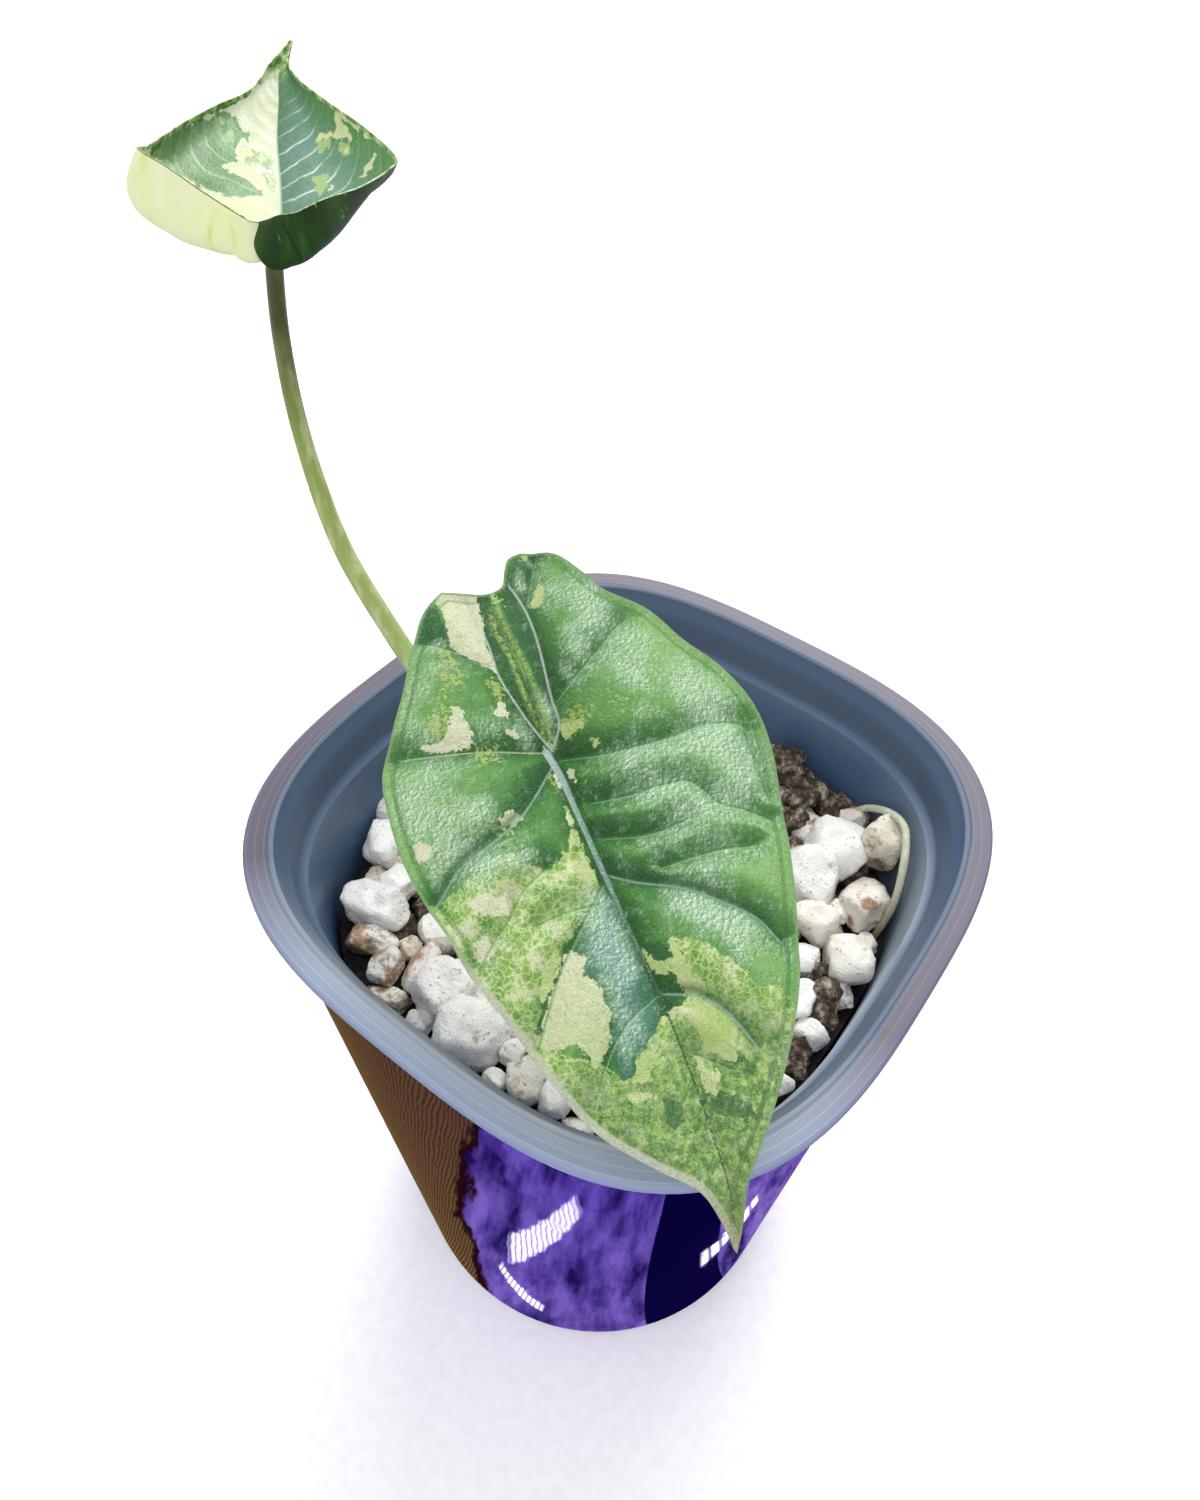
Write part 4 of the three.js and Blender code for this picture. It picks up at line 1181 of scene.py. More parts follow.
front_leaf, shares = grid_of("front_leaf_blade", LEAF_ROWS, LEAF_COLUMNS)
rows, columns = shares[:, :1], shares[:, 1:]
left = smooth_line(LEFT_EDGE, rows.ravel(), even=True)
right = smooth_line(RIGHT_EDGE, rows.ravel(), even=True)
top = smooth_line(TOP_EDGE, columns.ravel(), even=True)
straight_top = np.array(LEFT_EDGE[0]) + columns * (np.array(RIGHT_EDGE[0]) - np.array(LEFT_EDGE[0]))
leaf = left + columns * (right - left) + (top - straight_top) * (1 - rows) ** 4
u, v = leaf.T

all_ribs = [MIDRIB, LEFT_LOBE_RIB, RIGHT_LOBE_RIB, PALE_RIB] + BROAD_RIBS + SIDE_RIBS
rib_distance = np.abs(beside_ribs(leaf, all_ribs))
outer_line = np.vstack([smooth_line(TOP_EDGE, np.linspace(0, 1, 40), even=True)[::-1],
                        smooth_line(LEFT_EDGE, np.linspace(0, 1, 120), even=True),
                        smooth_line(RIGHT_EDGE, np.linspace(1, 0, 120), even=True)])
margin_distance = distance_to_line(leaf, outer_line)
towards_tip = np.clip(1 - np.maximum(u, 0) / 62, 0, 1)
height = SHOULDER_RISE * (1 - np.exp(-(np.abs(v) / SHOULDER_OFF) ** 1.5)) * towards_tip ** 0.7
height = height - SIDE_DROOP * v ** 2 - np.where(u > 0, TIP_DROOP, LOBE_DROOP) * u ** 2
height += (PANEL_SWELL * (0.5 - np.exp(-(rib_distance / PANEL_OFF) ** 2))
           - DIMPLE_DEPTH * np.exp(-(u ** 2 + v ** 2) / 60))
height -= CREASE_DEPTH * np.exp(-(rib_distance / CREASE_WIDTH) ** 2)
height += (RIM_RISE * np.exp(-(margin_distance / RIM_WIDTH) ** 2)
           - GROOVE_DEPTH * np.exp(-((margin_distance - GROOVE_OFF) / GROOVE_WIDTH) ** 2))
stand = Matrix.Translation(LEAF_PLACE) @ Matrix.Rotation(math.radians(LEAF_HEADING), 4, "Z")
stand = stand @ Matrix.Rotation(math.radians(LEAF_TIP_DROP), 4, "Y")
stand = np.array(stand @ Matrix.Rotation(math.radians(LEAF_SIDE_LIFT), 4, "X"))
move_points(front_leaf, np.stack([u, v, height], axis=1) @ stand[:3, :3].T + stand[:3, 3])
thick = THIN_SHARE + (1 - THIN_SHARE) * np.exp(-rib_distance ** 2)
at_rim = RIM_SHARE + (1 - RIM_SHARE) * np.clip(margin_distance / 1.5, 0, 1)
keep_values(front_leaf, "thickness_share", thick * at_rim)
print("front leaf points:", len(leaf))

# %% [markdown]
# ## Where the front leaf is pale
#
# A variegated leaf is a patchwork: cells that lost their green make cream and lime patches,
# whose edges stop at veins or break up into single cells. The patches of this leaf were
# drawn as outlines in the leaf's own millimetres, X towards the tip and Y towards
# the right margin. The blade keeps, at each point, how deep it lies in each kind of patch.
# The material lays the paint where that depth is above zero.

# %% Patches of the front leaf
CREAM_PATCHES = [
    [(-28.2, -6.4), (-27.6, -1.4), (-26, -1.2), (-23.5, -1.7), (-20, -2.2), (-18, -2.6), (-15, -2.6),
     (-13.2, -2.8), (-14.2, -3.7), (-15.8, -5.4), (-17.8, -6.8), (-20, -7), (-22.3, -6.7),
     (-24.3, -6.6), (-26, -7)],
    [(-9.2, -9.9), (-8.8, -8.9), (-7.5, -8.7), (-6.2, -9), (-5, -8.6), (-3.9, -8.7), (-3.3, -10),
     (-3.9, -12.3), (-4.6, -14.2), (-5.6, -15), (-5.2, -12.8), (-6.2, -11.2), (-7.6, -10.4)],
    [(-9.1, -4), (-8.2, -3.3), (-7.3, -3.5), (-6.3, -3), (-5.9, -3.6), (-6.3, -4.9), (-6.9, -5.2),
     (-7.6, -4.6)],
    [(-4.6, -4.6), (-4.2, -3.2), (-3.4, -3.4), (-3.7, -4.5)],
    [(6.2, -19.6), (6.2, -18.4), (7.6, -17.6), (8.6, -18.4), (8, -19.8)],
    [(6.2, -8.4), (6, -7.2), (7.4, -6.3), (7.8, -7.6), (7.9, -9.4), (7, -9.2)],
    [(14.8, -15.6), (14.4, -14), (15.8, -12.6), (15.7, -11.4), (17, -11.2), (17.9, -12),
     (17.4, -13.6), (16.6, -15.2)],
    [(19.4, -16.4), (19.2, -15), (20.4, -14.6), (21.6, -14.6), (22, -16.4), (21, -17)],
    [(24.5, -7.3), (26, -8.6), (28, -10.3), (29.5, -11.5), (31, -12.6), (32.5, -13.2), (33.6, -13),
     (34, -11.5), (33.9, -10.2), (34.6, -9.3), (36, -8.7), (37.3, -8.6), (36.6, -7.3), (35.5, -6.2),
     (34.6, -5.6), (33.4, -5.2), (32.2, -4.6), (30.8, -5), (29.6, -4.7), (28.6, -5.2), (28, -6.1),
     (26.8, -6.1), (25.8, -5.2), (25, -5.8), (24.2, -6.3)],
    [(39.8, 2.6), (40.2, 3.4), (41, 3.2), (41.6, 3.8), (42.6, 4.4), (43, 3.8), (43.6, 3.4),
     (44.5, 3), (43.8, 2.4), (43.4, 1.8), (42.4, 2.4), (41.6, 2.2), (40.8, 2)],
    [(2, -0.75), (2, -0.2), (4.2, -0.2), (4.4, -0.7)],
    [(2.2, 1), (2.4, 1.7), (4.4, 1.5), (4, 1)],
]
LIME_PATCHES = [
    [(26.7, 1.2), (27.7, 2.1), (28.9, 2.7), (29.2, 4.3), (28.1, 3.8), (27.3, 4.2), (27.1, 5),
     (28.2, 4.9), (29.2, 5), (30.4, 5.4), (31.6, 5.6), (33, 6.2), (34.1, 6.8), (33.3, 4.8), (33.2, 4),
     (32.4, 3.7), (31.2, 3.6), (30.4, 3.4), (30.2, 2.5), (29.8, 1.8), (28.4, 1.2)],
    [(33.6, 4), (34.8, 4.2), (35.4, 4.1), (36.4, 3.6), (38, 3.5), (39.6, 3.7), (40.2, 4.6),
     (41.4, 5.8), (41.8, 6.4), (41.2, 7.2), (40, 7.1), (39.4, 7.6), (38.2, 7.9), (37, 7.4), (36, 7.5),
     (35.6, 7.8), (34.8, 6.6)],
    [(37.3, -3.2), (37.6, -2.3), (38.4, -1.4), (38.4, -0.6), (39.2, -0.5), (39.4, -1.6), (38.8, -2.4),
     (39.6, -3), (40.2, -3.2), (40.6, -4.4), (39.8, -5.2), (39.4, -4.2), (38.4, -3.8)],
    [(40.6, -6), (41.2, -5), (41.6, -3.6), (42.4, -3.2), (42, -4.6), (42.2, -5.6), (41.6, -6.4)],
    [(-26.4, 0.2), (-23.8, 0.3), (-24, 1.1), (-26.2, 1.2)],
    [(-25.4, 7.4), (-23, 7.1), (-21.8, 6.9), (-20.6, 6.2), (-20.2, 5), (-21.2, 4.6), (-22.2, 5.2),
     (-23.4, 6.4)],
    [(-30.2, 6.4), (-29.8, 7.3), (-29.2, 7.1), (-29.3, 6.2)],
    [(-3.4, 2.6), (-3.3, 3.5), (-2.4, 4.2), (-2.6, 4.7), (-1.2, 4.6), (-1.9, 3.6), (-1.3, 2),
     (-2.2, 2.2)],
    [(0.6, 4.6), (0.3, 5.7), (1.1, 6.1), (1.4, 5.1)],
    [(13.4, -1.1), (15.2, -1), (17.4, -0.7), (17.6, -1.6), (16.8, -2.9), (15.6, -2.4), (14.4, -1.8)],
    [(7.6, -0.7), (9, -0.9), (12.4, -0.8), (12.6, -1.5), (11.4, -1.5), (9.2, -1.3)],
    [(23.6, -7.9), (25.4, -8), (27.4, -9.8), (28.4, -11.4), (26.2, -10.6), (24, -8.4)],
]
DARK_PATCHES = [
    [(32.4, 1.5), (33.2, 2.6), (34.4, 3.9), (35.6, 4.3), (36.2, 3.6), (37.6, 3.3), (38.8, 3.6),
     (39.4, 3.1), (38.6, 2.3), (37.2, 2.2), (35.6, 1.9), (34, 1.3)],
    [(28, 2.2), (29.1, 3), (28.9, 4.2), (28, 3.8), (26.9, 3.2), (26.4, 2), (26.6, 1.2)],
    [(42.8, -2.6), (43.4, -0.8), (45.2, -1.2), (46.4, -2.6), (45, -3.4)],
    [(43.6, 1.5), (44.4, 4), (46.6, 6.4), (48.2, 6.2), (47.4, 3.8), (45.4, 1.8)],
    [(47.2, -6.2), (48.2, -5), (49.6, -5.2), (48.4, -6.8)],
    [(41, 5.6), (42.4, 6.8), (44, 7.4), (43.2, 8.2), (41.6, 7.4)],
    [(-25.6, -8.2), (-24.4, -6.8), (-22, -7), (-19.8, -7.6), (-20.4, -9.6), (-23, -9.4)],
    [(-26.4, -0.9), (-23, -1.4), (-18, -2), (-12.5, -2.1), (-8, -1), (-4, 0), (-8, 0.3), (-14, 0.2),
     (-20, 0), (-26, 0)],
    [(-25.4, 1.4), (-20, 1.2), (-14, 1.6), (-8, 1.5), (-4, 1.3), (-8, 2.3), (-14, 3.1), (-20, 3.4),
     (-25.8, 2.6)],
]
BLUE_PATCHES = [
    [(18.2, -0.6), (21, -2.6), (24.2, -5.9), (25.6, -5.6), (26.8, -6.2), (28.2, -6), (28.8, -4.6),
     (30.6, -4.9), (32.2, -4.6), (33.8, -5.4), (35.2, -6.2), (36.6, -6.2), (39.4, -6), (39.3, -4.7),
     (38, -4.2), (37.2, -3), (36.4, -1.6), (35.6, -0.4), (34, 0.8), (26, 0.9), (20, 0.6)],
]
NET_PATCHES = [
    [(7.4, -0.8), (11, -1.6), (12.6, -2.4), (13.5, -3.6), (14.3, -5.2), (13.6, -7.4), (11.6, -9.4),
     (11.2, -11.8), (12.4, -14.6), (13.2, -17), (13.6, -21), (20, -21), (31, -18), (44, -13),
     (53, -4), (61, -2), (61, 2), (53, 5), (47, 11), (40, 16), (36.2, 13.9), (35.6, 12.2),
     (33.6, 11.4), (31.4, 9.8), (29.6, 8.6), (27.6, 6.6), (27, 5), (28.4, 4.8), (30.4, 5.2),
     (33, 5.8), (34.4, 1), (34.4, 0), (36, -1.6), (38, -4.4), (39.4, -6.2), (36.8, -8), (34, -12),
     (31, -13.4), (28, -11), (24.4, -7.6), (21, -4), (18.2, -0.7)],
]
SINUS_STREAKS = [[(-1.6, 0.9), (-6, 1), (-12, 1.1), (-18, 0.6), (-24, 0.6)],
                 [(-1.8, 0.3), (-6, -0.3), (-10, -0.5), (-14, -0.4), (-20, -0.7), (-23, -0.4)]]
# Each spot of painted sheen: place along and across, its two radii, and how strong it is.
PAINTED_SHEEN_SPOTS = [
    (-26, 4.6, 2, 1, 1), (-28.6, 7, 0.8, 0.5, 1), (-21, 9, 3, 2.6, 0.6), (-16, 11.5, 3, 2.6, 1),
    (-12.5, 8, 2.5, 2, 0.9), (-9.5, 5.5, 1.2, 1, 0.8), (-7, 11.5, 2.5, 1.6, 0.6),
    (-5, 13.5, 2.5, 1.5, 0.9), (-3, 19, 4, 3, 0.8), (1, 21, 3.5, 3, 1), (0, 12, 1.2, 2, 0.4),
    (6, 17, 3, 4, 0.7), (8, 21.5, 3, 2.5, 1), (10, 12, 1.6, 3, 0.5), (13.5, 13, 2, 4, 0.8),
    (13, 19, 2.5, 2.5, 0.8), (17, 8, 1.5, 5, 0.3), (24, 7.5, 1.6, 2.2, 0.9), (26.2, 10.2, 1.8, 2.4, 1),
    (28.5, 12.5, 2, 2.5, 0.9), (31, 11.5, 2.5, 2, 0.5), (-19.6, -9, 0.9, 1.6, 0.9),
    (-12.5, -13.5, 2, 1.5, 0.5), (-9, -15.5, 2.5, 1.8, 0.6), (-6, -13.5, 2.2, 1.6, 0.5),
    (-5.5, -6.5, 2, 2, 0.6), (-4, -2.4, 2.5, 1.1, 0.9), (1, -18, 2.5, 2.5, 0.9),
    (4.5, -18, 2.5, 2.5, 0.8), (4.5, -13.5, 2, 2.5, 0.8), (5, -10.5, 1.6, 1.8, 0.9),
    (8.5, -16.5, 2, 2.2, 0.9), (11, -18.2, 1.4, 1, 0.7), (12.2, -12, 1.4, 2.5, 0.9),
    (12.4, -8, 1.2, 2, 0.9), (-6, 1.4, 2.5, 0.9, 1), (20, -1.6, 1.8, 1.4, 1), (23.5, -1.2, 2, 1.4, 1),
    (27, -0.9, 2, 1.2, 1), (29, -1.5, 1.5, 1.5, 0.7), (35, -2.5, 2, 1, 0.6),
    (21.5, -3.2, 1.6, 1.4, 1), (25.5, -3.4, 2, 1.6, 0.9), (29.5, -3.4, 2, 1.2, 0.9),
    (33, -3.6, 1.6, 1.4, 1), (36.4, -4.4, 1.6, 1, 0.8), (8, 9, 3, 4, 0.5), (4, 9, 2, 4, 0.5),
    (-10, 15, 3, 2.5, 0.8), (-20, 12.5, 3, 2, 0.7), (10.5, 21.5, 3, 2, 0.7), (18, 15, 2.5, 3, 0.4),
    (22, 11, 2, 4, 0.6), (-1, -14.5, 3, 3, 0.6), (-15, -11, 3, 3, 0.4), (9, -13, 2.5, 3, 0.7),
]
# Areas where single lime cells are sprinkled over the green.
SPECKLED_SPOTS = [
    (-2, -7.5, 2.5, 3.5, 1), (-8.6, 8.3, 2, 2, 0.8), (-3, 8, 3, 4, 0.7), (-13, -9, 5, 4, 0.9),
    (-7, -12.5, 3, 3, 1), (-18, -8.5, 3, 2, 0.7), (-10, -3.5, 3, 1.6, 1), (4, -14, 5, 5, 0.8),
    (3, -1, 3, 1.2, 0.9), (5, 2.4, 3, 1, 0.8), (25, 4, 4, 2, 0.5), (-1, 12, 3, 3, 0.5),
    (27, 7.5, 2, 2, 0.6), (-24, 1.5, 3, 2, 0.8), (-3, 3.5, 3, 2, 1), (10, -17, 3, 3, 0.8),
    (8, -8.5, 3, 3, 0.8), (-16, 5, 4, 1, 0.4), (20, 18, 3, 2, 0.3),
]


def sum_of_spots(points, spots):
    """Soft spots added up, at most 1."""
    total = np.zeros(len(points))
    for x, y, reach_x, reach_y, strength in spots:
        apart = ((points[:, 0] - x) / reach_x) ** 2 + ((points[:, 1] - y) / reach_y) ** 2
        total += strength * np.exp(-apart)
    return np.clip(total, 0, 1)


# %% Keep the front leaf's pattern on its points
LIT_SIDE = 0.3
SHADED_SIDE = 0.75
PAD_REACH = 2.8


def keep_places(piece, name, places):
    """Stores a place for each point, in millimetres."""
    attribute = piece.data.attributes.new(name, "FLOAT_VECTOR", "POINT")
    flat = np.zeros((len(places), 3), np.float32)
    flat[:, :2] = places
    attribute.data.foreach_set("vector", flat.ravel())


def keep_ribs(piece, name, points, ribs):
    """Keeps a signed distance, which is smooth across a rib, and a plain one, to end it."""
    signed = beside_ribs(points, ribs)
    keep_values(piece, name + "_side", signed)
    keep_values(piece, name + "_away", np.abs(signed))


def past_rib(points, ribs):
    """Distance to the nearest rib, above zero on its tip side and below zero on its base side."""
    away = np.abs(beside_ribs(points, ribs))
    ahead = np.abs(beside_ribs(points + np.array([0.05, 0.0]), ribs))
    return np.where(ahead > away, away, -away)


keep_places(front_leaf, "leaf_place", leaf)
for name, patches in (("cream", CREAM_PATCHES), ("lime", LIME_PATCHES), ("dark", DARK_PATCHES),
                      ("blue", BLUE_PATCHES), ("net", NET_PATCHES)):
    keep_values(front_leaf, name, depth_in_patches(leaf, patches))
for name, ribs in (("midrib", [MIDRIB]), ("pale_rib", [PALE_RIB]), ("broad_rib", BROAD_RIBS),
                   ("lobe_rib", [LEFT_LOBE_RIB, RIGHT_LOBE_RIB]), ("side_rib", SIDE_RIBS),
                   ("streak", SINUS_STREAKS)):
    keep_ribs(front_leaf, name, leaf, ribs)
# The same ribs a little towards the tip, for a painted lit line, and towards the base, for painted shade.
keep_ribs(front_leaf, "side_light", leaf - np.array([LIT_SIDE, 0]), SIDE_RIBS)
keep_ribs(front_leaf, "broad_shade", leaf + np.array([SHADED_SIDE, 0]), BROAD_RIBS)
# Painted light and shade on the pads between the ribs: lit on a rib's tip side, above zero, and shaded on
# its base side, below zero.
past = past_rib(leaf, SIDE_RIBS + BROAD_RIBS + [PALE_RIB])
pad = past / (np.abs(past) + 0.5) * np.exp(-(past / PAD_REACH) ** 2)
# Where a silvery sheen is painted on: its spots, and the lit side of the pads away from the midrib.
outer_half = np.clip((np.abs(v) - 2.5) / 5, 0, 1) * np.where(v > 0, 0.6, 0.35) * (u < 34)
keep_values(front_leaf, "pad", pad)
keep_values(front_leaf, "silver", sum_of_spots(leaf, PAINTED_SHEEN_SPOTS) + outer_half * np.clip(pad, 0, 1))
keep_values(front_leaf, "speckled", sum_of_spots(leaf, SPECKLED_SPOTS))
keep_values(front_leaf, "margin", margin_distance)
keep_values(front_leaf, "midrib_width", np.interp(u, [-1.5, 0, 8, 17, 21, 30, 59],
                                                  [0.5, 0.46, 0.32, 0.3, 0.2, 0.12, 0.1]))
# Painted shade: the kept green tone is low in the veins and by the midrib.
off_midrib = np.clip(np.abs(v) / 18, 0, 1)
keep_values(front_leaf, "green_tone", 0.5 * np.clip(rib_distance / 3.5, 0, 1) + 0.5 * off_midrib)
pale_rim = (v < 0) * np.clip((u - 16) / 10, 0, 1)
keep_values(front_leaf, "rim_width", 0.35 + 0.55 * pale_rim)
keep_values(front_leaf, "rim_pale", pale_rim)
print("front leaf keeps:", sorted(a.name for a in front_leaf.data.attributes)[:6], "and more")

# %% [markdown]
# ## The front leaf's skin
#
# The skin of this plant is leathery and finely pebbled, with a satin sheen between the veins,
# which is painted on as silver flecks. The greens come first, with painted shade darkest in
# the veins. Over them lie the netted lime areas, the painted sheen, the lime and cream
# patches, and last the ribs, with their painted shade and lit lines, and the rim. Each
# patch's edge is broken up by small cells, as on the real leaf. Patterns read the leaf's own
# millimetres, so a scale is one over a size in millimetres.

# %% Front leaf paint, the helpers
def broken_edges(add, place, cell_mm, cloud_mm):
    """A number from about -1 to 1 that changes in small steps, as from cell to cell."""
    cells = add("TexVoronoi", {"Scale": 1 / cell_mm}, {"Vector": place})
    step = add("SeparateColor", {}, {"Color": cells.outputs["Color"]}).outputs["Red"]
    clouds = add("TexNoise", {"Scale": 1 / cloud_mm, "Detail": 4.0}, {"Vector": place})
    both = add("Math", {"operation": "MULTIPLY_ADD", 1: 3.0}, {0: clouds, 2: step})
    return add("Math", {"operation": "SUBTRACT", 1: 2.0}, {0: both})


def patch_mask(add, name, edges, ragged_mm, soft_mm=0.05, strength=1.0):
    """Where a kept depth is above zero, with broken edges."""
    depth = add("Attribute", {"attribute_name": name}).outputs["Fac"]
    moved = add("Math", {"operation": "MULTIPLY_ADD", 1: ragged_mm}, {0: edges, 2: depth})
    return add("MapRange", {"From Min": -soft_mm, "From Max": soft_mm, "To Max": strength},
               {"Value": moved})


def rib_mask(add, name, width_mm, strength=1.0, soft_mm=0.08, width=None):
    """A thin line along kept ribs, which ends where they end."""
    side = add("Attribute", {"attribute_name": name + "_side"}).outputs["Fac"]
    away = add("Attribute", {"attribute_name": name + "_away"}).outputs["Fac"]
    thin = add("Math", {"operation": "ABSOLUTE"}, {0: side})
    end = add("Math", {"operation": "SUBTRACT", 1: 0.4}, {0: away})
    gap = add("Math", {"operation": "MAXIMUM"}, {0: thin, 1: end})
    if width is not None:
        gap = add("Math", {"operation": "SUBTRACT"}, {0: gap, 1: width})
    return add("MapRange", {"From Min": width_mm + soft_mm, "From Max": width_mm - soft_mm,
                            "To Max": strength}, {"Value": gap})


# %% Front leaf paint, the greens
skin_paint, add = new_material("pebbled leaf skin")
place = add("Attribute", {"attribute_name": "leaf_place"}).outputs["Vector"]
to_tip = add("SeparateXYZ", {}, {"Vector": place}).outputs["X"]
edges = broken_edges(add, place, 0.8, 2.2)
fine_edges = broken_edges(add, place, 0.35, 0.8)
tone, pad_light_and_shade, speckled, blue_depth, silver = (
    add("Attribute", {"attribute_name": name}).outputs["Fac"]
    for name in ("green_tone", "pad", "speckled", "blue", "silver"))
clouds = add("TexNoise", {"Scale": 1 / 5.0, "Detail": 4.0}, {"Vector": place})
moved_tone = add("Math", {"operation": "MULTIPLY_ADD", 1: 0.5, 2: -0.25}, {0: clouds})
# Painted shade: the green is darker where the kept tone is low, in the veins and by the midrib.
green_place = add("Math", {"operation": "ADD"}, {0: tone, 1: moved_tone})
# The pads add their painted light and shade to the green.
green_place = add("Math", {"operation": "MULTIPLY_ADD", 1: 0.26}, {0: pad_light_and_shade, 2: green_place})
green = add("ValToRGB", {"ramp": [(0.0, "#1a4a19"), (0.25, "#2e6827"), (0.5, "#467d38"), (0.8, "#61954b"),
                                  (1.0, "#7eaa62")]}, {"Fac": green_place})
speckle_sum = add("Math", {"operation": "MULTIPLY_ADD", 1: 0.42}, {0: fine_edges, 2: speckled})
speckle_mask = add(
    "MapRange", {"From Min": 0.86, "From Max": 0.98, "To Max": 0.9}, {"Value": speckle_sum})
greens = paint_over(add, green, [
    (patch_mask(add, "dark", edges, 0.25, strength=0.85), "#255a2b"),
    (speckle_mask, "#a3b65e"),
])

# %% Front leaf paint, the netted areas
# Pale lines round small green cells. Where the lines grow wide they fill the cells.
NET_CELL_MM = 0.82

wobble = add("TexNoise", {"Scale": 1 / 1.6}, {"Vector": place})
net_place = add("VectorMath", {"operation": "MULTIPLY_ADD", 1: (0.9, 0.9, 0.0)},
                {0: wobble.outputs["Color"], 2: place})
net_gap = add(
    "TexVoronoi", {"Scale": 1 / NET_CELL_MM, "feature": "DISTANCE_TO_EDGE"}, {"Vector": net_place})
patchy = add("TexNoise", {"Scale": 1 / 2.8, "Detail": 4.0, "Roughness": 0.6}, {"Vector": place})
line_width = add(
    "MapRange", {"From Min": 0.5, "From Max": 0.7, "To Min": 0.06, "To Max": 0.4}, {"Value": patchy})
over_line = add("Math", {"operation": "SUBTRACT"}, {0: line_width, 1: net_gap})
net_line = add("MapRange", {"From Min": -0.04, "From Max": 0.02, "To Max": 0.95}, {"Value": over_line})
cell_tint = add(
    "ValToRGB", {"ramp": [(0.34, "#60903a"), (0.48, "#84ab50"), (0.62, "#a6bf74")]}, {"Fac": patchy})
line_tint = add(
    "ValToRGB", {"ramp": [(0.4, "#aac578"), (0.52, "#bccd8e"), (0.62, "#ccd2a8")]}, {"Fac": patchy})

# Towards the tip the net is so fine that it breaks up into green and lime crumbs.
crumb_share = add("MapRange", {"From Min": 35.0, "From Max": 42.0, "To Max": 0.75}, {"Value": to_tip})
crumbs = add("TexNoise", {"Scale": 1 / 1.1, "Detail": 6.0, "Roughness": 0.75}, {"Vector": net_place})
crumb_tint = add("ValToRGB", {"ramp": [(0.38, "#2b5a33"), (0.46, "#44753a"), (0.51, "#6c9346"),
                                       (0.56, "#8eab5e"), (0.64, "#b3be88")]}, {"Fac": crumbs})
net_colour = paint_over(add, cell_tint, [(net_line, line_tint), (crumb_share, crumb_tint)])
netted = paint_over(add, greens, [(patch_mask(add, "net", edges, 0.5), net_colour)])
again_dark = add("Math", {"operation": "MULTIPLY", "use_clamp": True},
                 {0: patch_mask(add, "dark", edges, 0.5, strength=0.9), 1: crumb_share})
# Left of the midrib a field stays blue green, and paler the deeper a point lies in it.
blue_share = add("MapRange", {"From Max": 3.0}, {"Value": blue_depth})
blue = add("ValToRGB", {"ramp": [(0.0, "#376a47"), (0.5, "#4f806b"), (1.0, "#6d978a")]},
           {"Fac": blue_share})
# Painted shade on the base side of each rib, where the pads turn away from the light.
pads_shade = add("MapRange", {"From Min": -0.15, "From Max": -0.8, "To Max": 0.45}, {"Value": pad_light_and_shade})
netted = paint_over(add, netted, [
    (again_dark, "#2b5a33"),
    (patch_mask(add, "blue", edges, 0.4), blue),
    (pads_shade, "#2c5f30"),
])

# %% Front leaf paint, the painted sheen
# A painted silvery sheen on the raised pads. The skin is finely wrinkled, and each wrinkle gets
# a painted highlight on the side towards the light and painted shade on the other: the
# highlight shows where the relief falls off over a short step that way, and the shade where it
# rises.
WRINKLES = {"Scale": 1 / 0.54, "Detail": 2.5, "Roughness": 0.55, "Distortion": 0.5}
LIT_STEP = (-0.14, -0.1, 0.0)

flakes = add("TexNoise", {"Scale": 1 / 1.8, "Detail": 6.0, "Roughness": 0.7}, {"Vector": place})
sheen_sum = add("Math", {"operation": "MULTIPLY_ADD", 1: 2.2}, {0: flakes, 2: silver})
painted_sheen = add("MapRange", {"From Min": 1.2, "From Max": 2.3, "To Max": 0.8}, {"Value": sheen_sum})
folds = add("TexNoise", WRINKLES, {"Vector": place})
one_step_on = add("VectorMath", {"operation": "ADD", 1: LIT_STEP}, {0: place})
folds_on = add("TexNoise", WRINKLES, {"Vector": one_step_on})
fall = add("Math", {"operation": "SUBTRACT"}, {0: folds, 1: folds_on})
lit_fold = add("MapRange", {"From Min": 0.02, "From Max": 0.16, "To Max": 0.85}, {"Value": fall})
shaded_fold = add("MapRange", {"From Min": -0.02, "From Max": -0.14, "To Max": 0.45}, {"Value": fall})
glint_share = add(
    "MapRange", {"From Min": 1.15, "From Max": 2.1, "To Min": 0.03}, {"Value": sheen_sum})
shade_share = add("MapRange", {"From Min": 1.0, "From Max": 1.7, "To Min": 0.25}, {"Value": sheen_sum})
shaded_fold = add("Math", {"operation": "MULTIPLY"}, {0: shaded_fold, 1: shade_share})
glint = add("Math", {"operation": "MULTIPLY"}, {0: lit_fold, 1: glint_share})
sheen_tint = add("ValToRGB", {"ramp": [(0.0, "#a5c7a0"), (1.0, "#8fb3a8")]}, {"Fac": blue_share})
fold_shade_tint = add("ValToRGB", {"ramp": [(0.0, "#2c6a30"), (1.0, "#315c4c")]}, {"Fac": blue_share})
silvered = paint_over(add, netted, [(painted_sheen, sheen_tint), (shaded_fold, fold_shade_tint), (glint, "#dfe8e2")])

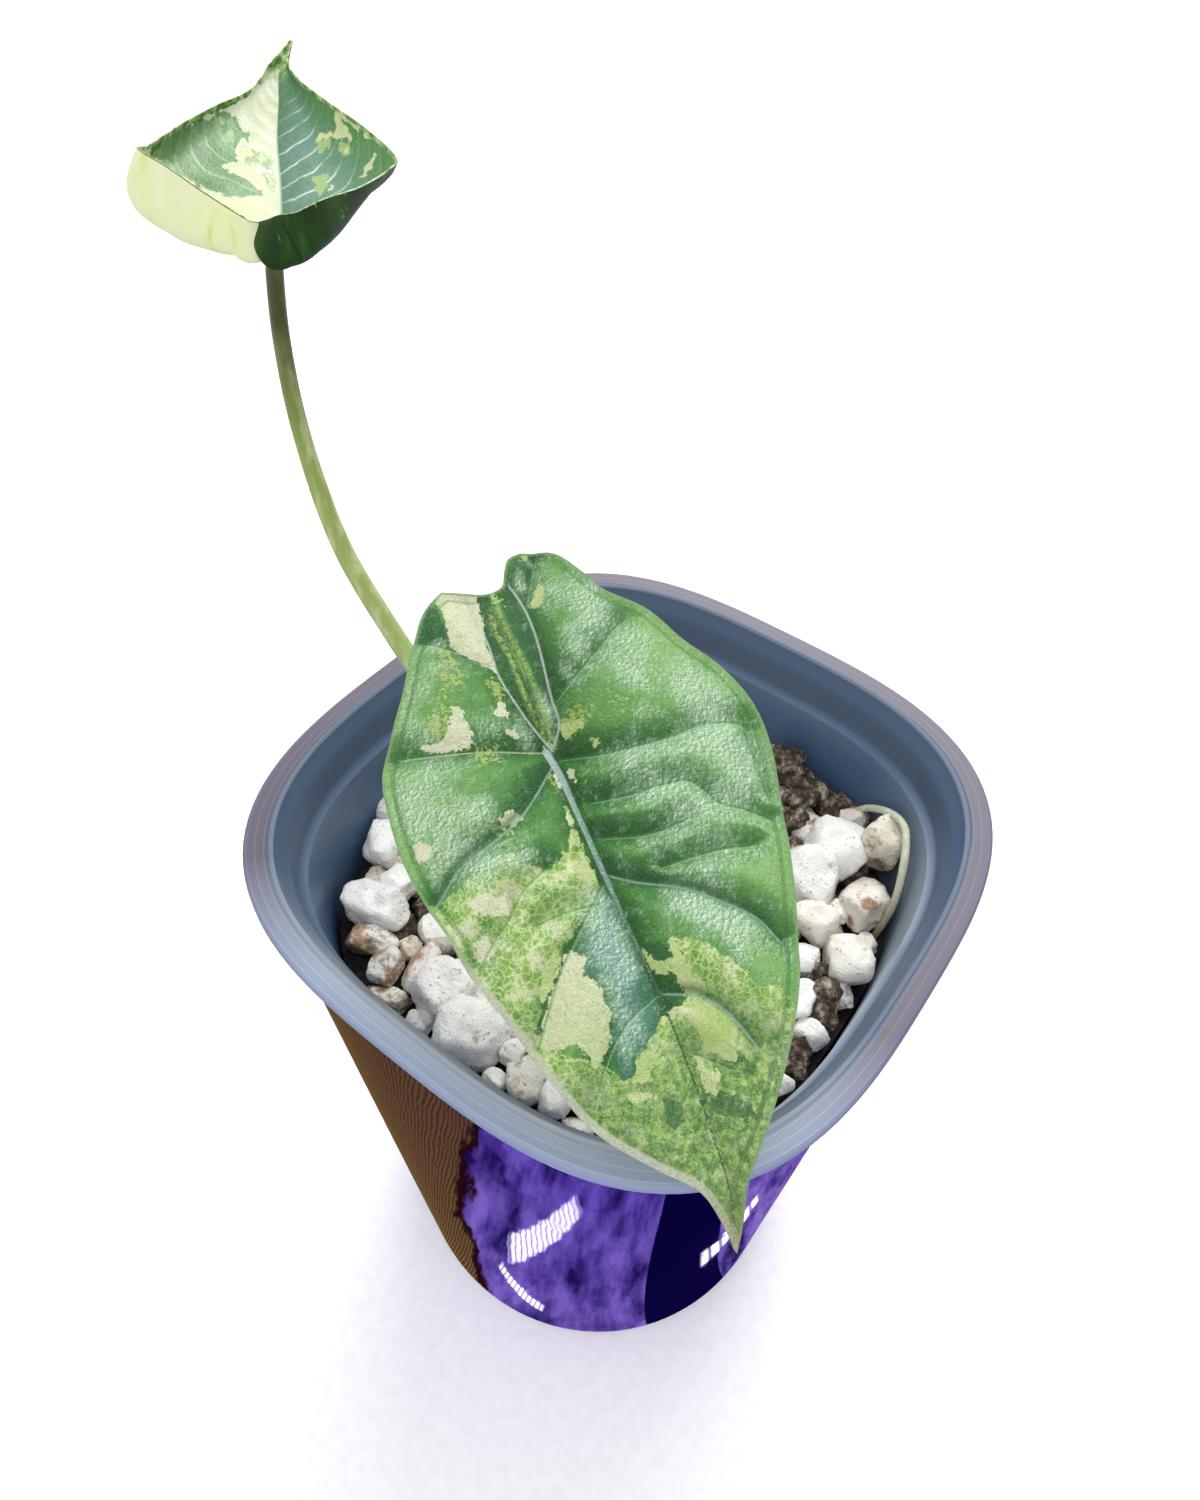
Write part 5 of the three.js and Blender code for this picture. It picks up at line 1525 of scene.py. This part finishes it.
# %% Front leaf paint, the pale patches
pale_edges = broken_edges(add, place, 0.45, 1.3)
lime_tone = add("ValToRGB", {"ramp": [(0.35, "#9fb76e"), (0.65, "#bcc98f")]}, {"Fac": clouds})
cream_place = add("MapRange", {"From Min": 22.0, "From Max": 37.0}, {"Value": to_tip})
cream_tone = add(
    "ValToRGB", {"ramp": [(0.0, "#cfd1b4"), (0.4, "#c6cda6"), (1.0, "#b3c389")]}, {"Fac": cream_place})
veil = add("MapRange", {"From Min": 0.52, "From Max": 0.36, "To Max": 0.55}, {"Value": flakes})
fine_line = add("MapRange", {"From Min": 0.1, "From Max": 0.03, "To Max": 0.35}, {"Value": net_gap})
cream_tone = paint_over(add, cream_tone, [(veil, "#a8ba7c"), (fine_line, "#d3d9b6")])
streak_break = add("Math", {"operation": "MULTIPLY_ADD", 1: 1.1, 2: 0.7}, {0: fine_edges})
streak_line = rib_mask(add, "streak", 0.3, 0.95, 0.25)
streaks = add("Math", {"operation": "MULTIPLY", "use_clamp": True}, {0: streak_line, 1: streak_break})
pale = paint_over(add, silvered, [
    (patch_mask(add, "lime", pale_edges, 0.4), lime_tone),
    (patch_mask(add, "cream", pale_edges, 0.38), cream_tone),
    (streaks, "#94ab5c"),
])

# %% Front leaf paint, the ribs and rim
grain = add("TexNoise", {"Scale": 1 / 0.35, "Detail": 3.0, "Roughness": 0.7}, {"Vector": place})
rib_width, rim_width, rim_pale, margin = (
    add("Attribute", {"attribute_name": name}).outputs["Fac"]
    for name in ("midrib_width", "rim_width", "rim_pale", "margin"))
midrib_place = add("MapRange", {"From Min": -2.0, "From Max": 32.0}, {"Value": to_tip})
midrib_tint = add("ValToRGB", {"ramp": [(0.0, "#a9bdb8"), (0.3, "#86a89a"), (0.6, "#739887"),
                                        (0.78, "#4a7457"), (1.0, "#265329")]}, {"Fac": midrib_place})
# Painted glints on the midrib.
glints = add("MapRange", {"From Min": 0.52, "From Max": 0.62, "To Max": 0.7}, {"Value": grain})
midrib_colour = paint_over(add, midrib_tint, [(glints, "#bec6c8")])
rim_gap = add("Math", {"operation": "SUBTRACT"}, {0: margin, 1: rim_width})
rim_mask = add("MapRange", {"From Min": 0.12, "From Max": -0.12, "To Max": 0.85}, {"Value": rim_gap})
rim_tint = add("ValToRGB", {"ramp": [(0.0, "#799b69"), (1.0, "#afb2a1")]}, {"Fac": rim_pale})
# Painted shade in the groove inside the margin, where the rim is not pale.
rim_groove = add("Math", {"operation": "COMPARE", 1: 1.3, 2: 0.3}, {0: margin})
groove_share = add("MapRange", {"To Min": 0.4, "To Max": 0.0}, {"Value": rim_pale})
rim_shade = add("Math", {"operation": "MULTIPLY"}, {0: rim_groove, 1: groove_share})
tip_olive = add("MapRange", {"From Min": 52.0, "From Max": 59.0, "To Max": 0.7}, {"Value": to_tip})
# Painted shade below the broad ribs and in the side ribs' creases, and a painted lit line beside each
# side rib.
painted = paint_over(add, pale, [
    (rim_shade, "#2f6433"),
    (rib_mask(add, "broad_shade", 0.45, 0.7, 0.45), "#24522b"),
    (rib_mask(add, "side_rib", 0.12, 0.6, 0.12), "#316a33"),
    (rib_mask(add, "side_light", 0.07, 0.5), "#a4c1a0"),
    (rib_mask(add, "lobe_rib", 0.15, 0.85), "#b0bcb3"),
    (rib_mask(add, "pale_rib", 0.09, 0.85), "#b6c2a4"),
    (rib_mask(add, "broad_rib", 0.13, 0.8), "#86ab98"),
    (rib_mask(add, "midrib", 0.0, 1.0, 0.08, rib_width), midrib_colour),
    (rim_mask, rim_tint),
    (tip_olive, "#8b9164"),
])

# %% Front leaf paint, the relief
# How far light gets into the leaf: green goes deepest.
LEAF_DEPTHS = {"Subsurface Weight": 0.08, "Subsurface Radius": (0.0006, 0.001, 0.0004)}

fold_gap = add("Math", {"operation": "SUBTRACT", 1: 0.5}, {0: folds})
fold_gap = add("Math", {"operation": "ABSOLUTE"}, {0: fold_gap})
pebbles = add(
    "TexVoronoi", {"Scale": 1 / 0.75, "feature": "SMOOTH_F1", "Smoothness": 0.6}, {"Vector": net_place})
relief = add("Math", {"operation": "MULTIPLY_ADD", 1: -0.6}, {0: pebbles, 2: grain})
relief = add("Math", {"operation": "MULTIPLY_ADD", 1: -3.0}, {0: fold_gap, 2: relief})
pebbled = add("Bump", {"Strength": 0.85, "Distance": 0.0003}, {"Height": relief})
polish = add(
    "MapRange", {"From Min": 0.3, "From Max": 0.7, "To Min": 0.28, "To Max": 0.46}, {"Value": clouds})
close_material(add, {"Specular IOR Level": 0.35, **LEAF_DEPTHS},
               {"Base Color": painted, "Normal": pebbled, "Roughness": polish})
front_leaf.data.materials.append(skin_paint)

# %% [markdown]
# The underside is duller and paler: a grey green with the ribs standing out light, and the
# cream patches shining through.

# %% Front leaf underside
under_paint, add = new_material("leaf underside")
place = add("Attribute", {"attribute_name": "leaf_place"}).outputs["Vector"]
edges = broken_edges(add, place, 0.8, 2.2)
mottle = add("TexNoise", {"Scale": 1 / 2.5, "Detail": 5.0}, {"Vector": place})
under_green = add("ValToRGB", {"ramp": [(0.3, "#6f9470"), (0.7, "#93b18a")]}, {"Fac": mottle})
under_colour = paint_over(add, under_green, [
    (patch_mask(add, "net", edges, 0.4, 0.3, 0.5), "#b9cc8e"),
    (patch_mask(add, "lime", edges, 0.3, 0.2, 0.6), "#c6d79a"),
    (patch_mask(add, "cream", edges, 0.22, 0.2, 0.8), "#dfe3c6"),
    (rib_mask(add, "side_rib", 0.3, 0.7, 0.15), "#b4c99b"),
    (rib_mask(add, "lobe_rib", 0.5, 0.8, 0.2), "#bdd0a2"),
    (rib_mask(add, "broad_rib", 0.45, 0.8, 0.2), "#bdd0a2"),
    (rib_mask(add, "midrib", 0.8, 0.9, 0.25), "#bccb8f"),
])
under_grain = add("Bump", {"Strength": 0.3, "Distance": 0.0001}, {"Height": mottle})
close_material(
    add, {"Roughness": 0.55, **LEAF_DEPTHS}, {"Base Color": under_colour, "Normal": under_grain})
front_leaf.data.materials.append(under_paint)
thicken(front_leaf, FRONT_THICKNESS)
hand_over(front_leaf, "front_leaf", "front_leaf")

# %% [markdown]
# ## The cupped leaf
#
# The younger leaf is still folded up like a boat. Its midrib and its two edges are lines in
# space. Each half hangs between the midrib and its edge, and bellies out on the way.

# %% Cupped leaf lines
CUPPED_MIDRIB = [
    (-42, -14, 208), (-43, -13.5, 206), (-44.5, -12, 204), (-47.5, -9.5, 201.5), (-51, -6, 199.5),
    (-55, -2, 199), (-59.5, 2, 199.5), (-65.5, 7.5, 201), (-71, 12.5, 203.5), (-74.5, 16.5, 206),
    (-77, 19.5, 208.5), (-78.5, 23.5, 211)]
CUPPED_LEFT_EDGE = [
    (-42, -14, 208), (-42, -15.5, 208.5), (-44, -16, 209.3), (-49, -15.5, 209.7),
    (-57.5, -13.5, 209.3), (-66, -11.5, 207.8), (-71, -6, 207), (-75, 1.5, 206.5),
    (-77, 8.5, 206.5), (-77.2, 14.5, 207.2), (-78, 19, 208.7), (-78.5, 23.5, 211)]
CUPPED_RIGHT_EDGE = [
    (-42, -14, 208), (-39.5, -13.5, 209), (-38.5, -12, 209.5), (-38, -8.5, 209.7), (-39, -2.5, 209.3),
    (-41.5, 5, 208.3), (-48, 11, 207.5), (-57.5, 15.5, 207.3), (-66, 17.5, 207.7), (-72.5, 19, 208.3),
    (-76.5, 20.8, 209.2), (-78.5, 23.5, 211)]
# How far each half bellies out and rolls over towards its margin, as a share of its width.
LEFT_BELLY = [0, 0.6, 0.36, 0.34, 0.35, 0.28, 0.23, 0.17, 0.12, 0.06, 0.01, 0]
RIGHT_BELLY = [0, 0.58, 0.34, 0.2, 0.1, -0.04, 0.15, 0.155, 0.16, 0.17, 0.17, 0]
LEFT_ROLL = [0, -0.65, -0.2, -0.11, -0.06, 0.13, 0.1, 0.07, 0.04, 0.01, -0.02, 0]
RIGHT_ROLL = [0, -0.46, -0.25, -0.05, -0.03, -0.01, 0.01, 0.01, 0, 0, 0, 0]
# How far each margin curls in over the cup, in millimetres.
LEFT_CURL = [0, 0.5, 0.3, 0.3, 0.45, 1.65, -0.2, 0.15, 0.4, 0.2, 0.8, 0]
RIGHT_CURL = [0, 0.36, -0.07, 0.24, -0.07, 0.68, -0.81, -0.75, -0.14, 0.35, 0.46, 0]
CUPPED_ROWS = 220
CUPPED_COLUMNS = 140
CUPPED_LENGTH = 58.6
CUPPED_HALF = 17.0
CUPPED_THICKNESS = 0.7
CURL_FROM, CURL_SPAN = 0.72, 0.28
# Over how many rows the corners between those stops are rounded.
ROUNDING = 17

# %% Cupped leaf blade
cupped_leaf, shares = grid_of("cupped_leaf_blade", CUPPED_ROWS, CUPPED_COLUMNS)
row = shares[:, 0]
side = 1 - 2 * shares[:, 1]
out = np.abs(side)[:, None]
midrib = smooth_line(CUPPED_MIDRIB, row)
ahead = smooth_line(CUPPED_MIDRIB, np.minimum(row + 0.002, 1))
behind = smooth_line(CUPPED_MIDRIB, np.maximum(row - 0.002, 0))
along = ahead - behind
along /= np.linalg.norm(along, axis=1)[:, None]
on_left = (side < 0)[:, None]
edge = np.where(on_left, smooth_line(CUPPED_LEFT_EDGE, row), smooth_line(CUPPED_RIGHT_EDGE, row))
chord = edge - midrib
outward = np.where(on_left, np.cross(chord, along), np.cross(along, chord))
outward /= np.maximum(np.linalg.norm(outward, axis=1), 1e-9)[:, None]
half = np.linalg.norm(chord, axis=1)


def along_rows(left, right):
    """A number for each point from a few stops along each half, with the corners rounded."""
    fine_rows = np.linspace(0, 1, CUPPED_ROWS + 1)
    soft = np.hanning(ROUNDING) / np.hanning(ROUNDING).sum()
    sides = []
    for stops in (left, right):
        fine = np.interp(fine_rows, np.linspace(0, 1, len(stops)), stops)
        fine = np.convolve(np.pad(fine, ROUNDING // 2, mode="edge"), soft, mode="valid")
        sides.append(np.interp(row, fine_rows, fine))
    return np.where(side < 0, *sides)


across_share = out[:, 0]
# Nothing at the midrib and the edge, and 1 where a half is fullest.
fullness = np.where(side < 0, 9.48 * across_share ** 3, 6.75 * across_share ** 2) * (1 - across_share)
swell = fullness * along_rows(LEFT_BELLY, RIGHT_BELLY) * half
roll = fullness * along_rows(LEFT_ROLL, RIGHT_ROLL)
curl = along_rows(LEFT_CURL, RIGHT_CURL) * np.clip((across_share - CURL_FROM) / CURL_SPAN, 0, 1) ** 2
cupped = midrib + chord * (out + roll[:, None]) + outward * (swell - curl)[:, None]
move_points(cupped_leaf, cupped)

# %% Lengths along the skin
order = np.lexsort((shares[:, 1], row))
table = cupped[order].reshape(CUPPED_ROWS + 1, CUPPED_COLUMNS + 1, 3)
steps = np.linalg.norm(np.diff(table, axis=1), axis=2)
lengths = np.pad(np.cumsum(steps, axis=1), ((0, 0), (1, 0)))
skin_across, skin_to_edge = np.empty(len(row)), np.empty(len(row))
middle_column = CUPPED_COLUMNS // 2
skin_across[order] = (lengths[:, middle_column:middle_column + 1] - lengths).ravel()
skin_to_edge[order] = np.minimum(lengths, lengths[:, -1:] - lengths).ravel()
edge_distance = half * (1 - across_share)
tip_distance = CUPPED_LENGTH * np.minimum(row, 1 - row)
rim_share = np.clip(np.minimum(edge_distance, tip_distance) / 1.5, 0, 1)
at_rim = RIM_SHARE + (1 - RIM_SHARE) * rim_share
thick = 0.7 + 0.3 * np.exp(-(half * across_share / 1.2) ** 2)
keep_values(cupped_leaf, "thickness_share", thick * at_rim)
print("cupped leaf points:", len(cupped))

# %% [markdown]
# ## Where the cupped leaf is pale
#
# Its left half is mostly cream with a large netted green field, and its right half blue
# green with a few lemon patches near the margin. The outlines are drawn in the half's own
# terms: how far along from the notch to the tip, and how far out from the midrib, and are
# then turned to millimetres.

# %% Patches of the cupped leaf
INNER_GREEN = [
    [(0.549, -0.98), (0.579, -1.02), (0.605, -0.99), (0.631, -0.98), (0.658, -0.97), (0.682, -0.97),
     (0.702, -0.91), (0.724, -0.93), (0.737, -0.9), (0.748, -0.82), (0.736, -0.66), (0.718, -0.54),
     (0.711, -0.39), (0.691, -0.37), (0.693, -0.47), (0.675, -0.46), (0.655, -0.44), (0.644, -0.39),
     (0.633, -0.39), (0.628, -0.46), (0.619, -0.51), (0.608, -0.46), (0.608, -0.4), (0.606, -0.31),
     (0.599, -0.21), (0.592, -0.15), (0.577, -0.14), (0.567, -0.22), (0.553, -0.29), (0.547, -0.38),
     (0.553, -0.44), (0.558, -0.52), (0.568, -0.59), (0.58, -0.71), (0.583, -0.78), (0.572, -0.88),
     (0.556, -0.95)],
]
INNER_SPECKLED = [
    [(0.667, -0.42), (0.677, -0.35), (0.678, -0.27), (0.676, -0.17), (0.675, -0.09), (0.651, -0.05),
     (0.614, -0.05), (0.6, -0.08), (0.61, -0.15), (0.634, -0.21), (0.63, -0.3), (0.645, -0.37)],
]
MARGIN_GREEN = [
    [(0.641, -1.02), (0.661, -0.95), (0.685, -0.94), (0.69, -1.02)],
    [(0.703, -1.02), (0.703, -0.97), (0.712, -0.95), (0.73, -0.94), (0.758, -0.91), (0.782, -0.92),
     (0.785, -1.02)],
    [(0.785, -0.94), (0.801, -0.9), (0.805, -1.02), (0.79, -1.02)],
    [(0.54, -1.02), (0.551, -0.96), (0.58, -0.96), (0.585, -1.02)],
]
INNER_PALE = [
    [(0.692, -0.69), (0.708, -0.61), (0.692, -0.52), (0.678, -0.5), (0.677, -0.59), (0.683, -0.65)],
    [(0.714, -0.89), (0.723, -0.88), (0.715, -0.76), (0.707, -0.78)],
    [(0.574, -0.9), (0.592, -0.82), (0.591, -0.75), (0.582, -0.79), (0.575, -0.87)],
]
INNER_LIME = [
    [(0.692, 0.52), (0.685, 0.68), (0.668, 0.62), (0.665, 0.53), (0.664, 0.47), (0.678, 0.48)],
    [(0.614, 0.31), (0.615, 0.43), (0.596, 0.41), (0.58, 0.37), (0.568, 0.31), (0.588, 0.3)],
    [(0.665, 0.72), (0.648, 0.79), (0.628, 0.72), (0.632, 0.65), (0.653, 0.65)],
]
INNER_LEMON = [
    [(0.672, -0.46), (0.68, -0.36), (0.665, -0.3), (0.652, -0.36), (0.658, -0.43)],
    [(0.632, -0.41), (0.637, -0.29), (0.627, -0.19), (0.605, -0.12), (0.592, -0.17), (0.601, -0.28),
     (0.612, -0.38)],
    [(0.536, -0.36), (0.548, -0.29), (0.553, -0.16), (0.544, -0.06), (0.531, -0.15), (0.519, -0.28)],
    [(0.685, 0.72), (0.692, 0.82), (0.705, 0.9), (0.702, 0.95), (0.688, 0.92), (0.667, 0.91),
     (0.658, 0.87), (0.648, 0.8), (0.662, 0.8), (0.666, 0.73), (0.682, 0.69), (0.69, 0.55),
     (0.687, 0.5), (0.702, 0.6), (0.695, 0.73)],
    [(0.71, 0.97), (0.71, 1.02), (0.61, 1.02), (0.636, 0.98), (0.648, 0.94), (0.668, 0.92),
     (0.688, 0.93)],
    [(0.58, 0.67), (0.588, 0.74), (0.597, 0.86), (0.593, 0.89), (0.588, 0.85), (0.583, 0.78)],
    [(0.576, 0.4), (0.594, 0.43), (0.59, 0.46), (0.575, 0.43)],
    [(0.64, 0.93), (0.636, 0.97), (0.621, 0.96), (0.625, 0.93)],
    [(0.632, 0.65), (0.646, 0.73), (0.643, 0.75), (0.629, 0.67)],
    [(0.43, 1.02), (0.43, 0.97), (0.5, 0.98), (0.56, 0.985), (0.56, 1.02)],
]
# A crease on the outer face, painted dark as shade.
OUTER_CREASE = [
    [(0.11, 0.98), (0.128, 0.95), (0.15, 0.91), (0.188, 0.78), (0.2, 0.7), (0.204, 0.72),
     (0.193, 0.8), (0.156, 0.93), (0.132, 0.97)],
]
# Where a shine is painted on the skin, with its fine veins painted brighter: place across and
# along, radii, strength.
PAINTED_SHINE_SPOTS = [(5.1, 38.7, 4.5, 4, 1), (7.5, 45, 2.5, 2.5, 0.8), (5, 34, 4, 2, 0.5),
               (-9, 36.5, 5, 2.5, 0.8), (-12, 38.5, 2, 3, 0.5), (-6, 34.5, 3, 1.5, 0.6)]


def cup_mm(outline):
    """An outline of the cupped leaf in millimetres, across first and then along."""
    return [(CUPPED_HALF * s, CUPPED_LENGTH * r) for r, s in outline]


# %% Keep the cupped leaf's pattern on its points
# How many fine veins leave the midrib on each side, from the notch to the tip.
ARC_PHASES = 27.0

arc_rise = np.where(side < 0, 0.09, 0.14 * np.clip((0.85 - row) / 0.22, 0.15, 1))
cup_place = np.stack([CUPPED_HALF * side, CUPPED_LENGTH * row], axis=1)
keep_places(cupped_leaf, "leaf_place", cup_place)
keep_places(cupped_leaf, "skin_place", np.stack([skin_across, CUPPED_LENGTH * row], axis=1))
for name, patches in (("green", INNER_GREEN), ("lime", INNER_LIME), ("lemon", INNER_LEMON),
                      ("pale", INNER_PALE), ("speckled", INNER_SPECKLED),
                      ("margin_green", MARGIN_GREEN), ("crease", OUTER_CREASE)):
    keep_values(cupped_leaf, name, depth_in_patches(cup_place, [cup_mm(p) for p in patches]))
keep_values(cupped_leaf, "side_mm", CUPPED_HALF * side)
keep_values(cupped_leaf, "arc_phase", ARC_PHASES * (row - arc_rise * side ** 2))
keep_values(cupped_leaf, "shine", sum_of_spots(cup_place, PAINTED_SHINE_SPOTS))
keep_values(cupped_leaf, "margin", np.minimum(skin_to_edge, tip_distance * 2))
print("cupped leaf patches:", len(INNER_GREEN + INNER_LIME + INNER_LEMON))

# %% [markdown]
# The inner face has a soft sheen, painted on as a paler tint in a few spots. Fine pale veins
# leave the midrib in arcs and curl up towards the margin, painted brighter where the sheen is.

# %% Cupped leaf, the inner face
YOUNG_DEPTHS = (0.0008, 0.001, 0.0004)

inner_paint, add = new_material("young leaf inner skin")
place = add("Attribute", {"attribute_name": "skin_place"}).outputs["Vector"]
to_tip = add("SeparateXYZ", {}, {"Vector": place}).outputs["Y"]
edges = broken_edges(add, place, 0.5, 1.6)
across, phase, shine, margin = (
    add("Attribute", {"attribute_name": name}).outputs["Fac"]
    for name in ("side_mm", "arc_phase", "shine", "margin"))
clouds = add("TexNoise", {"Scale": 1 / 4.0, "Detail": 4.0}, {"Vector": place})
bent = add("Math", {"operation": "MULTIPLY_ADD", 1: 0.9}, {0: clouds, 2: phase})
near_arc = add("Math", {"operation": "PINGPONG", 1: 0.5}, {0: bent})
arc_line = add("MapRange", {"From Min": 0.08, "From Max": 0.02, "To Max": 0.9}, {"Value": near_arc})
gaps = add("MapRange", {"From Min": 0.38, "From Max": 0.52}, {"Value": clouds})
# The arcs are painted brighter where a shine is painted.
arc_share = add("MapRange", {"From Max": 0.7, "To Min": 0.15}, {"Value": shine})
arcs = add("Math", {"operation": "MULTIPLY"}, {0: arc_line, 1: gaps})
arcs = add("Math", {"operation": "MULTIPLY"}, {0: arcs, 1: arc_share})
web = add("TexVoronoi", {"Scale": 1 / 0.9, "feature": "DISTANCE_TO_EDGE"}, {"Vector": place})
web_line = add("MapRange", {"From Min": 0.08, "From Max": 0.02, "To Max": 0.2}, {"Value": web})
cream = add("ValToRGB", {"ramp": [(0.35, "#bbc39b"), (0.6, "#c9cfbb")]}, {"Fac": clouds})
left_green = add("ValToRGB", {"ramp": [(0.3, "#4a7644"), (0.7, "#759a68")]}, {"Fac": clouds})
left_arcs = add("Math", {"operation": "MULTIPLY", 1: 0.6}, {0: arcs})
crumbs = add("TexNoise", {"Scale": 1 / 0.9, "Detail": 5.0, "Roughness": 0.7}, {"Vector": place})
crumb_mask = add("MapRange", {"From Min": 0.46, "From Max": 0.52, "To Max": 0.85}, {"Value": crumbs})
on_speckled = patch_mask(add, "speckled", edges, 0.5, 0.5)
speckled = add("Math", {"operation": "MULTIPLY"}, {0: crumb_mask, 1: on_speckled})
lemon_low = add("MapRange", {"From Min": 33.5, "From Max": 30.0, "To Max": 0.7}, {"Value": to_tip})
left_side = paint_over(add, cream, [
    (lemon_low, "#c0c994"),
    (patch_mask(add, "green", edges, 0.45), paint_over(add, left_green, [
        (web_line, "#a5bd92"), (left_arcs, "#c2d1b4")])),
    (speckled, "#7a9c54"),
    (patch_mask(add, "pale", edges, 0.4, 0.15, 0.8), "#a3bd8c"),
    (patch_mask(add, "lemon", edges, 0.45), "#c4cb98"),
    (patch_mask(add, "margin_green", edges, 0.35), "#386b2a"),
])
right_place = add("MapRange", {"From Min": 2.0, "From Max": 16.0}, {"Value": across})
right_green = add("ValToRGB", {"ramp": [(0.0, "#46735a"), (0.4, "#527e66"), (0.75, "#4a7d4e"),
                                        (1.0, "#468238")]}, {"Fac": right_place})
near_tip = add("MapRange", {"From Min": 43.5, "From Max": 48.5, "To Max": 0.8}, {"Value": to_tip})
# Painted sheen in the spots where the skin shines.
sheen_spot = add("MapRange", {"To Max": 0.3}, {"Value": shine})
sheen = add("Math", {"operation": "MULTIPLY"}, {0: gaps, 1: sheen_spot})
right_side = paint_over(add, right_green, [
    (near_tip, "#40713c"),
    (sheen, "#8aa8a0"),
    (web_line, "#7fa38a"),
    (arcs, "#cddad4"),
    (patch_mask(add, "lime", edges, 0.5), "#93ae72"),
    (patch_mask(add, "lemon", edges, 0.5), "#c4cb98"),
])
is_right = add("MapRange", {"From Min": -0.15, "From Max": 0.15}, {"Value": across})
tip_share = add("MapRange", {"From Min": 51.0, "From Max": 54.5}, {"Value": to_tip})
tip_crumbs = add("TexNoise", {"Scale": 1 / 1.2, "Detail": 4.0}, {"Vector": place})
tip_tint = add(
    "ValToRGB", {"ramp": [(0.42, "#366f1f"), (0.52, "#618f36"), (0.6, "#abbf7b")]}, {"Fac": tip_crumbs})
midrib_gap = add("Math", {"operation": "ABSOLUTE"}, {0: across})
midrib_line = add("MapRange", {"From Min": 0.45, "From Max": 0.2, "To Max": 0.8}, {"Value": midrib_gap})
rim_mask = add("MapRange", {"From Min": 0.55, "From Max": 0.4, "To Max": 0.8}, {"Value": margin})
rim_tint = add(
    "ValToRGB", {"ramp": [(0.4, "#366b25"), (0.5, "#94b069"), (0.6, "#cad1a9")]}, {"Fac": tip_crumbs})
inner_colour = paint_over(add, left_side, [
    (is_right, right_side),
    (tip_share, tip_tint),
    (midrib_line, "#b6c5b0"),
    (rim_mask, rim_tint),
])
inner_grain = add("TexNoise", {"Scale": 1 / 0.4, "Detail": 3.0}, {"Vector": place})
inner_relief = add("Math", {"operation": "MULTIPLY_ADD", 1: 1.4}, {0: near_arc, 2: inner_grain})
inner_bump = add("Bump", {"Strength": 0.5, "Distance": 0.0002}, {"Height": inner_relief})
close_material(add, {"Roughness": 0.4, "Subsurface Weight": 0.1, "Subsurface Radius": YOUNG_DEPTHS},
               {"Base Color": inner_colour, "Normal": inner_bump})
cupped_leaf.data.materials.append(inner_paint)

# %% [markdown]
# The outer face is cream on the left, with faint lime veining, and a dark glossy green on
# the right, where it turns pale only in thin streaks near the margin. A thin painted shadow
# line runs along the margin, and a crease on the right is painted dark as shade.

# %% Cupped leaf, the outer face
outer_paint, add = new_material("young leaf outer skin")
place = add("Attribute", {"attribute_name": "skin_place"}).outputs["Vector"]
edges = broken_edges(add, place, 0.7, 1.6)
across = add("Attribute", {"attribute_name": "side_mm"}).outputs["Fac"]
stretch = add("Mapping", {"Scale": (0.6, 0.8, 1.0)}, {"Vector": place})
veil = add("TexNoise", {"Scale": 1 / 3.0, "Detail": 5.0}, {"Vector": stretch})
outer_cream = add("ValToRGB", {"ramp": [(0.3, "#dadbc0"), (0.45, "#d8dcb2"), (0.58, "#d3dda4"),
                                        (0.72, "#b9cd80")]}, {"Fac": veil})
outer_green = add(
    "ValToRGB", {"ramp": [(0.3, "#142f02"), (0.55, "#1c4005"), (0.75, "#2f6012")]}, {"Fac": veil})
pale_streak = add("TexNoise", {"Scale": 1 / 1.2}, {"Vector": stretch})
near_edge = add("MapRange", {"From Min": 7.0, "From Max": 16.0, "To Max": 0.1}, {"Value": across})
streak_sum = add("Math", {"operation": "ADD"}, {0: pale_streak, 1: near_edge})
streak_mask = add("MapRange", {"From Min": 0.75, "From Max": 0.83, "To Max": 0.45}, {"Value": streak_sum})
# On the right: pale streaks, and the crease painted dark as shade.
right_outer = paint_over(add, outer_green, [
    (streak_mask, "#8fa96a"),
    (patch_mask(add, "crease", edges, 0.05), "#12300a"),
])
green_edge = add("Math", {"operation": "MULTIPLY_ADD", 1: 0.7}, {0: edges, 2: across})
on_right = add("MapRange", {"From Min": -2.65, "From Max": -2.45}, {"Value": green_edge})
margin = add("Attribute", {"attribute_name": "margin"}).outputs["Fac"]
# A thin painted shadow line runs along the margin.
edge_shadow_line = add("Math", {"operation": "LESS_THAN", 1: 0.12}, {0: margin})
outer_colour = paint_over(add, outer_cream, [(edge_shadow_line, "#5d6238"), (on_right, right_outer)])
outer_grain = add("Bump", {"Strength": 0.3, "Distance": 0.00015}, {"Height": veil})
close_material(add, {"Roughness": 0.5, "Specular IOR Level": 0.25, "Subsurface Weight": 0.08,
                     "Subsurface Radius": YOUNG_DEPTHS},
               {"Base Color": outer_colour, "Normal": outer_grain})
cupped_leaf.data.materials.append(outer_paint)
thicken(cupped_leaf, CUPPED_THICKNESS)
hand_over(cupped_leaf, "cupped_leaf", "cupped_leaf")
